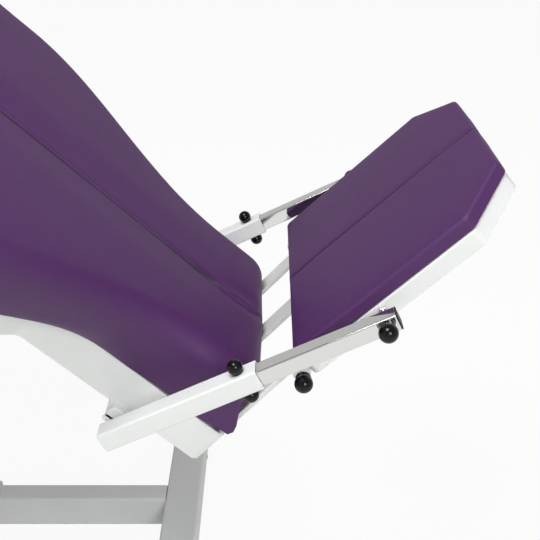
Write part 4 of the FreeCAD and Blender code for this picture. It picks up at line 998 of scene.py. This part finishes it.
def folded_sheet(line, low, high, thick):
    """A sheet on edge along a plan line: a thin section with round rims, offset along the line's normal."""
    run = np.gradient(line, axis=0)
    run /= np.linalg.norm(run, axis=1, keepdims=True)
    inward = np.stack([run[:, 1], -run[:, 0]], -1)
    rim = SHEET_RIM
    section = [(0, low + rim), (0, high - rim), (rim, high), (thick - rim, high), (thick, high - rim),
               (thick, low + rim), (thick - rim, low), (rim, low)]
    rings = [np.column_stack([line + inward * depth, np.full(len(line), level)]) for depth, level in section]
    return skin(np.array(rings).transpose(1, 0, 2))


def bent_line(corners, radius):
    """An open line with arcs at its inner corners: a closed outline's arcs, with the end ones left out."""
    corners = np.asarray(corners, float)
    radii = np.full(len(corners), 1 * MM)
    radii[1:-1] = radius
    steps = 6
    arcs = rounded_outline(corners, radii, steps).reshape(len(corners), steps + 1, 2)
    return np.concatenate([corners[:1], arcs[1:-1].reshape(-1, 2), corners[-1:]])


skirt_low, skirt_high = span("skirt_far", "table")
end_low, end_high = span("skirt_ends", "table")
SKIRT_HALF, SKIRT_BEND_BACK = 168 * MM, 303 * MM
SKIRT_FLARE = math.radians(49)
SHEET = 3 * MM
skirt_bend = skirt_high[0] - SKIRT_BEND_BACK
flare_end = skirt_bend - (skirt_high[1] - SKIRT_HALF) / math.tan(SKIRT_FLARE)
for side, sign in zip(SIDES, (-1, 1)):
    corners = [(skirt_high[0] - BEND, SKIRT_HALF), (skirt_bend, SKIRT_HALF), (flare_end, skirt_high[1]),
               (skirt_low[0] + BEND, skirt_high[1])]
    line = bent_line(corners, 3 * BEND) * (1, sign)
    line = line if sign < 0 else line[::-1]
    dress(f"skirt_{side}", "table", [folded_sheet(line[::-1], skirt_low[2], skirt_high[2], SHEET)])


def end_line(end, half, back):
    """Plan line of an end sheet: a bend's length behind the end, round both corners and back again."""
    corners = [(end + back, -half), (end, -half), (end, half), (end + back, half)]
    return bent_line(corners, BEND - 0.01 * MM)


foot_line = end_line(end_high[0], SKIRT_HALF, -BEND)
head_line = end_line(end_low[0], -skirt_high[1], BEND)
dress("skirt_ends", "table", [folded_sheet(line[::-1], end_low[2], end_high[2], SHEET)
                              for line in (foot_line, head_line)])

# %% [markdown]
# The arms are flat steel bars with a rolled eye on the hinge rod. Bolts through the foot end sheet hold
# them. A bolt head could stay a plain disc, but a hexagon with a washed rim tells the eye that it turns.

# %% Arms
ARM_EYE, ARM_THICK, ARM_BEHIND_EYE = 11 * MM, 7 * MM, 6 * MM
HEAD_HIGH, WASHER_HIGH = 5 * MM, 1.4 * MM


def washer(centre, along, start, end, radius, rim=0.35 * MM):
    """A round disc between two heights on an axis."""
    foot = np.array(centre, float)
    foot[along] = start
    return turned(rim_profile(radius, end - start, rim), foot, along)


def hexagon(centre, along, start, end, radius):
    """A six-sided head or nut between two heights on an axis, its corners and rims rounded."""
    others = [axis for axis in range(3) if axis != along]
    outline = rounded_outline(circle(radius, 6), 0.8 * MM, 3) + np.asarray(centre)[others]
    return slab(outline, start, end, along, 0.9 * MM)


def arm(low, high):
    """A flat bar up to its eye, and the eye across it."""
    eye = np.array([high[0] - ARM_EYE, low[1], high[2] - ARM_EYE])
    back = eye[0] - ARM_BEHIND_EYE
    strip = bar((back, low[1], low[2]), (back + ARM_THICK, high[1], eye[2]), 2, 1.5 * MM, 1 * MM)
    return [strip, turned(rim_profile(ARM_EYE, high[1] - low[1], 1 * MM), eye, 1)]


arms = [shape for low, high in solid_boxes("footplate_arms", "table") for shape in arm(low, high)]
dress("footplate_arms", "table", arms)

# %% [markdown]
# Each bracket is cut and folded from one plate: a web beside the tube and a flange to the skirt.

# %% Brace brackets
BRACKET_PLATE = 4 * MM


def bracket(low, high):
    """A web with round upper corners beside the tube, and a flange from it to the skirt."""
    outer = high[1] if high[1] > 0 else low[1]
    inward = -math.copysign(BRACKET_PLATE, outer)
    web_low, web_high = sorted((outer, outer + inward))
    outline = rounded_outline([(low[0], low[2]), (high[0], low[2]), (high[0], high[2]), (low[0], high[2])],
                              np.array([2, 2, 7, 7]) * MM)
    flange_low, flange_high = (low[0], low[1], skirt_low[2]), (high[0], high[1], skirt_low[2] + BRACKET_PLATE)
    return [slab(outline, web_low, web_high, 1, 0.8 * MM), bar(flange_low, flange_high, 1, 1 * MM, 0.4 * MM)]


brackets = [shape for low, high in solid_boxes("brace_brackets", "table") for shape in bracket(low, high)]
dress("brace_brackets", "table", brackets)


# %% [markdown]
# A bolt is a stack: a hexagon, washers that spread its pull, and a plain shank through the pieces it holds.

# %% Bolts
def brace_bolt(low, high):
    """Head inside the bracket, a stack of washers between bracket and tube, and a nut in the tube."""
    centre = (low + high) / 2
    radius = (high[0] - low[0]) / 2
    sign = math.copysign(1, centre[1])
    inner, outer = sorted((abs(low[1]), abs(high[1])))
    marks = inner + np.array([0, 5, 9, 10.6, 18.1, 19.7]) * MM

    def across(maker, start, end, size):
        first, last = sorted((sign * start, sign * end))
        return maker(centre, 1, first, last, size)

    return [across(hexagon, marks[0], marks[1], 1.08 * radius), across(washer, inner, outer, 4 * MM),
            across(washer, marks[2], marks[3], 1.1 * radius),
            across(washer, marks[3], marks[4], 0.8 * radius),
            across(washer, marks[4], marks[5], 1.1 * radius),
            across(hexagon, outer - HEAD_HIGH, outer, 1.08 * radius)]


def arm_bolt(low, high):
    """Washer and head on the outside of the end sheet, and the shank through sheet and arm."""
    centre = (low + high) / 2
    radius = (high[1] - low[1]) / 2
    face = high[0] - HEAD_HIGH
    return [washer(centre, 0, face, face + WASHER_HIGH, 1.1 * radius),
            hexagon(centre, 0, face + WASHER_HIGH, high[0], radius),
            washer(centre, 0, low[0], high[0], 4 * MM)]


bolts = []
for low, high in solid_boxes("frame_bolts", "table"):
    bolts += brace_bolt(low, high) if high[1] - low[1] > 20 * MM else arm_bolt(low, high)
dress("frame_bolts", "table", bolts)


# %% [markdown]
# The upper brace pins are threaded studs. A helix could be swept, but from a step away a row of rings with
# the thread's pitch looks the same and stays a simple turned piece.

# %% Threads and upper brace pins
def thread(centre, along, start, end, radius, pitch=1.25 * MM):
    """A threaded stretch: rings whose radius rises and falls once a pitch."""
    count = 2 * int((end - start) / pitch) + 1
    heights = np.linspace(0, end - start, count)
    ring_radius = radius - 0.35 * MM * (np.arange(count) % 2)
    foot = np.array(centre, float)
    foot[along] = start
    return turned(np.stack([ring_radius, heights], -1), foot, along, 32)


def upper_pin(low, high):
    """Threaded stud with one nut at the tray and one at the tube."""
    centre = (low + high) / 2
    radius = (high[0] - low[0]) / 2
    sign = math.copysign(1, centre[1])
    stud_low, stud_high = low[1], high[1]
    nuts = [(PLATE_HALF, PLATE_HALF + 6 * MM), (PLATE_HALF + 12.2 * MM, PLATE_HALF + 18.2 * MM)]
    shapes = [thread(centre, 1, stud_low, stud_high, 4 * MM)]
    for start, end in nuts:
        first, last = sorted((sign * start, sign * end))
        shapes.append(hexagon(centre, 1, first, last, 1.08 * radius))
    return shapes


pins = [shape for low, high in solid_boxes("upper_brace_pins", "foot") for shape in upper_pin(low, high)]
dress("upper_brace_pins", "foot", pins)

# %% [markdown]
# The plain pins and the shafts are ground bar, chamfered at the ends so that they start easily in their
# bores. A small round on each rim is all they need.

# %% Pins and shafts
ROUND_PINS = {"heel_rod": "foot", "tilt_shaft": "table",
              "upper_drive_pin": "table", "lower_drive_pin": "base"}
for node, place in ROUND_PINS.items():
    low, high = span(node, place)
    centre = (low + high) / 2
    dress(node, place, [washer(centre, 1, low[1], high[1], (high[0] - low[0]) / 2, 1 * MM)])

# %% [markdown]
# The frame and the base are welded from drawn rectangular tube, whose corners are rounds of about twice
# the wall. The long side of each solid tells which way its tube runs.


# %% Welded tubes
def drawn_tubes(node, place, corner, wall):
    """A tube for each solid of a node, along its longest side."""
    tubes = []
    for low, high in solid_boxes(node, place):
        along = int(np.argmax(high - low))
        tubes.append(tube(low, high, along, corner, wall))
    return tubes


for node in ("base_bars", "base_rails", "posts"):
    dress(node, "base", drawn_tubes(node, "base", 5 * MM, 2.5 * MM))
for node in ("main_beams", "cross_members"):
    dress(node, "table", drawn_tubes(node, "table", 3 * MM, 2 * MM))


# %% [markdown]
# Plates with a bore carry the shaft, the pins and the axles. A bore could be cut with a boolean, but rings
# from the outline to the bore give clean quads all round it.

# %% Plates and blocks with a bore
def holed(outline, centre, radius, low, high, along, rim):
    """A plate with a round hole: out over the rounded rims of its outline, then back through the hole.

    Each point of the hole lies at the same angle about its centre as a point of the outline.
    """
    turn = np.linspace(0, math.pi / 2, RIM_STEPS + 1)
    normal = outward(outline)
    ray = outline - centre
    hole = centre + radius * ray / np.linalg.norm(ray, axis=1, keepdims=True)
    steps = list(zip(rim * (1 - np.sin(turn)), rim * (1 - np.cos(turn))))
    rings = [stand(outline - normal * inset, low + step, along) for inset, step in steps]
    rings += [stand(outline - normal * inset, high - step, along) for inset, step in steps[::-1]]
    rings += [stand(hole, high, along), stand(hole, low, along)]
    return skin(np.array(rings), loop=True)


def post_foot(low, high):
    """A foot plate if it is wide, otherwise a gusset whose upright side stands against the post."""
    if high[2] - low[2] < 20 * MM:
        return bar(low, high, 2, 4 * MM, 1 * MM)
    post_side, tip = (high[0], low[0]) if high[0] < PLACES["table"][0][0] else (low[0], high[0])
    corners = [(post_side, low[2]), (tip, low[2]), (post_side, high[2])]
    return slab(rounded_outline(corners, np.array([1, 2, 1]) * MM), low[1], high[1], 1, 0.8 * MM)


dress("post_feet", "base", [post_foot(low, high) for low, high in solid_boxes("post_feet", "base")])

shaft = PLACES["table"][0][[0, 2]]
blocks = []
for low, high in solid_boxes("bearing_blocks", "base"):
    outline = rectangle(low[[0, 2]], high[[0, 2]], 6 * MM, 8)
    blocks.append(holed(outline, shaft, 18 * MM, low[1], high[1], 1, 1.2 * MM))
dress("bearing_blocks", "base", blocks)

anchor = PLACES["drive"][0][[0, 2]]
cheeks = []
for low, high in solid_boxes("anchor_plates", "base"):
    outline = rectangle(low[[0, 2]], high[[0, 2]], 12 * MM, 8)
    cheeks.append(holed(outline, anchor, 8 * MM, low[1], high[1], 1, 0.8 * MM))
dress("anchor_plates", "base", cheeks)

hangers = []
for low, high in solid_boxes("hanger_plates", "table"):
    middle = np.array([(low[0] + high[0]) / 2, 0.0])
    half = (high[0] - low[0]) / 2
    if half > 40 * MM:
        round_half = -low[2]
        corners = [(-half, high[2]), (-half, 18 * MM), (-round_half, 18 * MM), (-round_half, low[2]),
                   (round_half, low[2]), (round_half, 18 * MM), (half, 18 * MM), (half, high[2])]
        outline = rounded_outline(corners, np.array([2, 3, 3, 20, 20, 3, 3, 2]) * MM, 6)
        hangers.append(holed(outline, middle, 15 * MM, low[1], high[1], 1, 0.8 * MM))
    else:
        corners = [(low[0], low[2]), (high[0], low[2]), (high[0], high[2]), (low[0], high[2])]
        outline = rounded_outline(corners, np.array([18, 18, 1, 1]) * MM, 8)
        hangers.append(holed(outline, middle, 8 * MM, low[1], high[1], 1, 0.8 * MM))
dress("hanger_plates", "table", hangers)

# %% [markdown]
# The base ends in pressed-in plastic caps and stands on levelling feet: a rubber pad, a threaded stud and
# a lock nut.

# %% Caps and feet
caps = [bar(low, high, 1, 5 * MM, 1.8 * MM) for low, high in solid_boxes("bar_caps", "base")]
dress("bar_caps", "base", caps)

feet = []
for low, high in solid_boxes("foot_pads", "base"):
    radius, tall = (high[0] - low[0]) / 2, high[2]
    profile = np.array([(radius - 2 * MM, 0), (radius - 0.4 * MM, 0.6 * MM), (radius, 2 * MM),
                        (radius, 6 * MM), (radius - 1 * MM, 7.5 * MM), (0.62 * radius, 10.5 * MM),
                        (0.5 * radius, 12 * MM), (0.44 * radius, tall)])
    feet.append(turned(profile, ((low[0] + high[0]) / 2, (low[1] + high[1]) / 2, 0), 2))
dress("foot_pads", "base", feet)

studs = []
for low, high in solid_boxes("foot_studs", "base"):
    centre, radius = (low + high) / 2, (high[0] - low[0]) / 2
    studs.append(thread(centre, 2, low[2], high[2], radius, 1.75 * MM))
    studs.append(hexagon(centre, 2, high[2] - 7 * MM, high[2], 1.7 * radius))
dress("foot_studs", "base", studs)

# %% [markdown]
# A transport wheel is turned in two profiles, the crowned tyre and the webbed hub. Its fork is two plates
# with the axle and a nut on each side.

# %% Transport wheels
WHEEL_HUB, AXLE, FORK_SHEET = 24 * MM, 5 * MM, 4 * MM


def ring_turned(profile, centre, along, steps=56):
    """A turned ring: a closed profile of (radius, height) carried round the axis."""
    points, _ = turned(profile, centre, along, steps)
    return skin(points.reshape(len(profile), steps, 3), loop=True)


for side in SIDES:
    low, high = span(f"transport_wheel_{side}", "base")
    radius, wide = (high[0] - low[0]) / 2, high[1] - low[1]
    start = np.array([(low[0] + high[0]) / 2, low[1], (low[2] + high[2]) / 2])
    swing = np.linspace(0, math.pi, 13)
    crown = 7 * MM
    tread = np.stack([radius - crown * (1 - np.sin(swing)), wide / 2 * (1 - np.cos(swing))], -1)
    tyre = np.concatenate([[(WHEEL_HUB, 1 * MM)], tread, [(WHEEL_HUB, wide - 1 * MM)]])
    web, boss = 6 * MM, 10 * MM
    hub = [(AXLE + 0.3 * MM, 0.5 * MM), (boss, 0.5 * MM), (boss, web), (WHEEL_HUB - 3 * MM, web),
           (WHEEL_HUB - 3 * MM, 0.8 * MM), (WHEEL_HUB, 0.8 * MM), (WHEEL_HUB, wide - 0.8 * MM),
           (WHEEL_HUB - 3 * MM, wide - 0.8 * MM), (WHEEL_HUB - 3 * MM, wide - web), (boss, wide - web),
           (boss, wide - 0.5 * MM), (AXLE + 0.3 * MM, wide - 0.5 * MM)]
    dress(f"transport_wheel_{side}", "base", [ring_turned(tyre, start, 1)],
          [("grey_plastic", [ring_turned(np.array(hub), start, 1)])])

wheel_low, wheel_high = span("transport_wheel_near", "base")
wheel_middle = ((wheel_low + wheel_high) / 2)[[0, 2]]
forks = []
for low, high in solid_boxes("wheel_forks", "base"):
    corners = [(low[0], low[2]), (high[0], low[2]), (high[0], high[2]), (low[0], high[2])]
    outline = rounded_outline(corners, np.array([13, 2, 2, 13]) * MM, 8)
    for start in (low[1], high[1] - FORK_SHEET):
        forks.append(holed(outline, wheel_middle, AXLE, start, start + FORK_SHEET, 1, 0.6 * MM))
    centre = (wheel_middle[0], 0, wheel_middle[1])
    forks.append(washer(centre, 1, low[1], high[1], AXLE))
    forks.append(hexagon(centre, 1, low[1] - 3 * MM, low[1], 1.6 * AXLE))
    forks.append(hexagon(centre, 1, high[1], high[1] + 3 * MM, 1.6 * AXLE))
dress("wheel_forks", "base", forks)

# %% [markdown]
# The electrics are bought-in parts: a moulded box with a screwed lid, an appliance inlet with three pins,
# and a rocker switch. Their rims follow from how they come out of a mould, with a round of a millimetre or
# two and no sharp corner.

# %% Control box and mains parts
low, high = span("control_box", "base")
dress("control_box", "base", [bar(low, high, 2, 9 * MM, 1.2 * MM)])
low, high = span("control_lid", "base")
SCREW_INSET = 11 * MM
screws = []
for x in (low[0] + SCREW_INSET, high[0] - SCREW_INSET):
    for y in (low[1] + SCREW_INSET, high[1] - SCREW_INSET):
        dome = [(3.4 * MM, 0), (3.3 * MM, 0.8 * MM), (2.6 * MM, 1.4 * MM), (1.6 * MM, 1.7 * MM),
                (1.5 * MM, 0.5 * MM), (0.1 * MM, 0.5 * MM)]
        screws.append(turned(dome, (x, y, high[2]), 2, 24))
dress("control_lid", "base", [bar(low, high, 2, 9 * MM, 1.2 * MM)], [("steel", screws)])

low, high = span("mains_inlet", "base")
back = bar((high[0] - 2 * MM, low[1] + 1 * MM, low[2] + 1 * MM),
           (high[0], high[1] - 1 * MM, high[2] - 1 * MM), 0, 2 * MM, 0.3 * MM)
middle = (low + high) / 2
blades = [bar((low[0] + 6 * MM, y - 1 * MM, z - 2 * MM), (high[0] - 2 * MM, y + 1 * MM, z + 2 * MM),
              0, 0.4 * MM, 0.5 * MM)
          for y, z in ((middle[1] - 6 * MM, middle[2] - 2 * MM), (middle[1] + 6 * MM, middle[2] - 2 * MM),
                       (middle[1], middle[2] + 3 * MM))]
dress("mains_inlet", "base", [tube(low, high, 0, 3 * MM, 2 * MM), back], [("steel", blades)])

low, high = span("mains_switch", "base")
switch_floor = bar((high[0] - 5 * MM, low[1] + 1 * MM, low[2] + 1 * MM),
                   (high[0], high[1] - 1 * MM, high[2] - 1 * MM), 0, 2 * MM, 0.3 * MM)
dress("mains_switch", "base", [tube(low, high, 0, 3 * MM, 3.3 * MM), switch_floor])
low, high = span("mains_rocker", "base")
hollow = 2.4 * MM
rocker = [(high[0], low[2]), (high[0], high[2]), (low[0], high[2]), (low[0] + hollow, (low[2] + high[2]) / 2),
          (low[0], low[2])]
dress("mains_rocker", "base", [slab(rounded_outline(rocker, np.array([0.8, 0.8, 0.8, 8, 0.8]) * MM), low[1],
                                    high[1], 1, 0.6 * MM)])

# %% [markdown]
# The foot unit has two treads on one pin, one for up and one for down. Ribs keep a shoe from slipping. They
# could be a bump in the finish, but they stand up by more than a millimetre and show from the side.

# %% Foot unit
low, high = span("pedal_housing", "base")
dress("pedal_housing", "base", [bar(low, high, 2, 10 * MM, 4 * MM)])
knuckles = []
for low, high in solid_boxes("pedal_pivots", "base"):
    if high[0] - low[0] > 50 * MM:
        knuckles.append(washer((low + high) / 2, 0, low[0], high[0], (high[1] - low[1]) / 2))
    else:
        knuckles.append(bar(low, high, 0, 2.5 * MM, 0.5 * MM))
dress("pedal_pivots", "base", knuckles)
RIBS, RIB_HIGH, RIB_WIDE = 9, 1.4 * MM, 3 * MM
for node in ("pedal_up", "pedal_down"):
    low, high = span(node, "base")
    tread = [bar(low, high, 2, 6 * MM, 1.2 * MM)]
    for y in np.linspace(low[1] + 9 * MM, high[1] - 18 * MM, RIBS):
        tread.append(bar((low[0] + 6 * MM, y - RIB_WIDE / 2, high[2] - 1 * MM),
                         (high[0] - 6 * MM, y + RIB_WIDE / 2, high[2] + RIB_HIGH), 0, 1 * MM, 1 * MM))
    dress(node, "base", tread)

# %% [markdown]
# The actuator is a cast gear housing with the motor and the thrust tube side by side on it. The push rod
# runs out of a wiper ring at the tube's mouth and ends in an eye. Housing and eyes are castings, so they
# are rounder than the turned tube and rod.

# %% Actuator
DRIVE_EYE, DRIVE_EYE_HALF, GEARBOX_START = 15 * MM, 15 * MM, 18 * MM
low, high = span("drive_gearbox", "drive")
case = slab(rectangle(low[:2], high[:2], 22 * MM, 10), GEARBOX_START, high[2], 2, 5 * MM)
fork = bar((-DRIVE_EYE + 1 * MM, -DRIVE_EYE_HALF, 0),
           (DRIVE_EYE - 1 * MM, DRIVE_EYE_HALF, GEARBOX_START + 3 * MM), 2, 3 * MM, 0.5 * MM)
lower_eye = turned(rim_profile(DRIVE_EYE, 2 * DRIVE_EYE_HALF, 1.5 * MM), (0, -DRIVE_EYE_HALF, 0), 1)
dress("drive_gearbox", "drive", [case, fork, lower_eye])

low, high = span("drive_motor", "drive")
radius, tall = (high[1] - low[1]) / 2, high[2] - low[2]
can = [(radius - 1 * MM, 0), (radius, 1 * MM), (radius, tall - 24 * MM),
       (radius - 0.8 * MM, tall - 23.2 * MM), (radius - 0.8 * MM, tall - 21.8 * MM),
       (radius, tall - 21 * MM), (radius, tall - 6 * MM),
       (radius - 1.6 * MM, tall - 2.2 * MM), (radius - 5 * MM, tall - 0.4 * MM), (radius - 9 * MM, tall)]
dress("drive_motor", "drive", [turned(can, ((low[0] + high[0]) / 2, 0, low[2]), 2)])

low, high = span("drive_tube", "drive")
radius, tall = (high[1] - low[1]) / 2, high[2] - low[2]
barrel = [(radius - 1.5 * MM, 0), (radius - 1.5 * MM, tall - 26 * MM), (radius - 1 * MM, tall - 25 * MM)]
ring = [(radius - 1.4 * MM, 0), (radius, 1 * MM), (radius, 22 * MM), (radius - 1.2 * MM, 23.6 * MM),
        (15 * MM, 25 * MM), (14 * MM, 24.4 * MM), (12.4 * MM, 23 * MM)]
dress("drive_tube", "drive", [turned(barrel, (0, 0, low[2]), 2)],
      [("black_plastic", [turned(ring, (0, 0, high[2] - 25 * MM), 2)])])

low, high = span("drive_rod", "drive")
rod_eye = np.array([0, -DRIVE_EYE_HALF, high[2] - DRIVE_EYE])
push_rod = turned(rim_profile(12 * MM, rod_eye[2] - low[2] - 6 * MM, 1 * MM), (0, 0, low[2]), 2)
upper_eye = turned(rim_profile(DRIVE_EYE, 2 * DRIVE_EYE_HALF, 1.5 * MM), rod_eye, 1)
dress("drive_rod", "drive", [push_rod, upper_eye])

# %% [markdown]
# The camera stands where the photographer's did. Its place, tilt and lens were solved from the photograph's
# parallel tubes and edges, so the model can be laid over the picture and compared.

# %% Look from the photograph's place
camera_data = bpy.data.cameras.new("camera")
camera_data.lens = 56.589
camera_data.sensor_width = 36
camera = bpy.data.objects.new("camera", camera_data)
camera.location = (0.6008, -1.0964, 1.1467)
CAMERA_DOWN = 27  # degrees below level
camera.rotation_euler = (math.radians(90 - CAMERA_DOWN), 0, 0)
bpy.context.scene.collection.objects.link(camera)
bpy.context.scene.camera = camera
print("camera at", np.round(camera.location, 4), "looks down by", CAMERA_DOWN, "degrees")

# %% [markdown]
# The photograph has soft studio light with no hard shadow. One large soft box hangs over the table, a weaker
# one stands at the camera's side, and a plain pale room fills the rest. A sun lamp would be simpler, but its
# shadows have hard edges.


# %% Soft boxes and room
def soft_light(name, place, aim, size, watts):
    """A square soft box that looks at a point."""
    data = bpy.data.lights.new(name, "AREA")
    data.size = size
    data.energy = watts
    lamp = bpy.data.objects.new(name, data)
    lamp.location = place
    direction = Vector(aim) - lamp.location
    lamp.rotation_euler = direction.to_track_quat("-Z", "Y").to_euler()
    bpy.context.scene.collection.objects.link(lamp)
    print(name, size, "m wide,", watts, "W")


soft_light("key_light", (-0.1, -0.8, 3.1), (0.5, 0, 0.7), 1.3, 54)
soft_light("fill_light", (1.4, -2.6, 2.0), (0.5, 0, 0.6), 1.1, 36)

world = bpy.data.worlds.new("studio")
bpy.context.scene.world = world
world.use_nodes = True
ceiling = world.node_tree.nodes["Background"]
ceiling.inputs["Color"].default_value = linear("#f6f6f6")
ceiling.inputs["Strength"].default_value = 0.42


# %% [markdown]
# A studio's white paper runs over the floor and up behind the object in one sweep, with no corner to see.
# A wall on one side would show from the front alone, so the sweep goes all round, as a very wide bowl.
# Camera and mirror rays see it nearly white, and its own lit paper, mixed in, keeps the object's shadow.

# %% Paper sweep
PAPER_FLAT, PAPER_BEND, PAPER_WALL = 9.0, 2.0, 4.0
SEEN_WHITE, MIRRORED_WHITE = 0.93, 0.45  # how white the paper is to the camera and in reflections


def paper_sweep():
    """Rings about the object: the flat floor, a quarter circle up, and the wall."""
    turn = np.linspace(0, math.pi / 2, 9)
    bend = np.stack([PAPER_FLAT + PAPER_BEND * np.sin(turn), PAPER_BEND * (1 - np.cos(turn))], -1)
    profile = np.concatenate([bend, [(PAPER_FLAT + PAPER_BEND, PAPER_BEND + PAPER_WALL)]])
    ring = circle(1.0, 96)
    points = np.concatenate([np.column_stack([ring * radius, np.full(len(ring), height)])
                             for radius, height in profile])
    faces = grid_quads(len(profile), len(ring), False, True)[:, ::-1].tolist()
    return points, [list(range(len(ring)))] + faces


def paper():
    """Diffuse paper that camera, mirror and glass rays see nearly white."""
    material = bpy.data.materials.new("white_paper")
    material.use_nodes = True
    tree = material.node_tree
    tree.nodes.clear()
    ray = add(tree, "ShaderNodeLightPath")
    sheet = add(tree, "ShaderNodeBsdfDiffuse", inputs={"Color": linear("#ededeb")})
    white = add(tree, "ShaderNodeEmission", inputs={"Color": linear("#ffffff"), "Strength": 1.0})
    mirror = add(tree, "ShaderNodeMath", {"operation": "MAXIMUM"},
                 {0: ray.outputs["Is Glossy Ray"], 1: ray.outputs["Is Transmission Ray"]})
    mirrored = add(tree, "ShaderNodeMath", {"operation": "MULTIPLY"},
                   {0: mirror.outputs[0], 1: MIRRORED_WHITE})
    seen = add(tree, "ShaderNodeMath", {"operation": "MULTIPLY"},
               {0: ray.outputs["Is Camera Ray"], 1: SEEN_WHITE})
    share = add(tree, "ShaderNodeMath", {"operation": "MAXIMUM"},
                {0: seen.outputs[0], 1: mirrored.outputs[0]})
    mixed = add(tree, "ShaderNodeMixShader",
                inputs={0: share.outputs[0], 1: sheet.outputs[0], 2: white.outputs[0]})
    add(tree, "ShaderNodeOutputMaterial", inputs={"Surface": mixed.outputs[0]})
    return material


sweep_points, sweep_faces = paper_sweep()
sweep_mesh = bpy.data.meshes.new("paper_sweep")
sweep_mesh.from_pydata(sweep_points.tolist(), [], sweep_faces)
sweep_mesh.materials.append(paper())
sweep = bpy.data.objects.new("paper_sweep", sweep_mesh)
bpy.context.scene.collection.objects.link(sweep)
print("paper sweep", len(sweep_points), "points")
bpy.context.scene.view_settings.view_transform = "Standard"
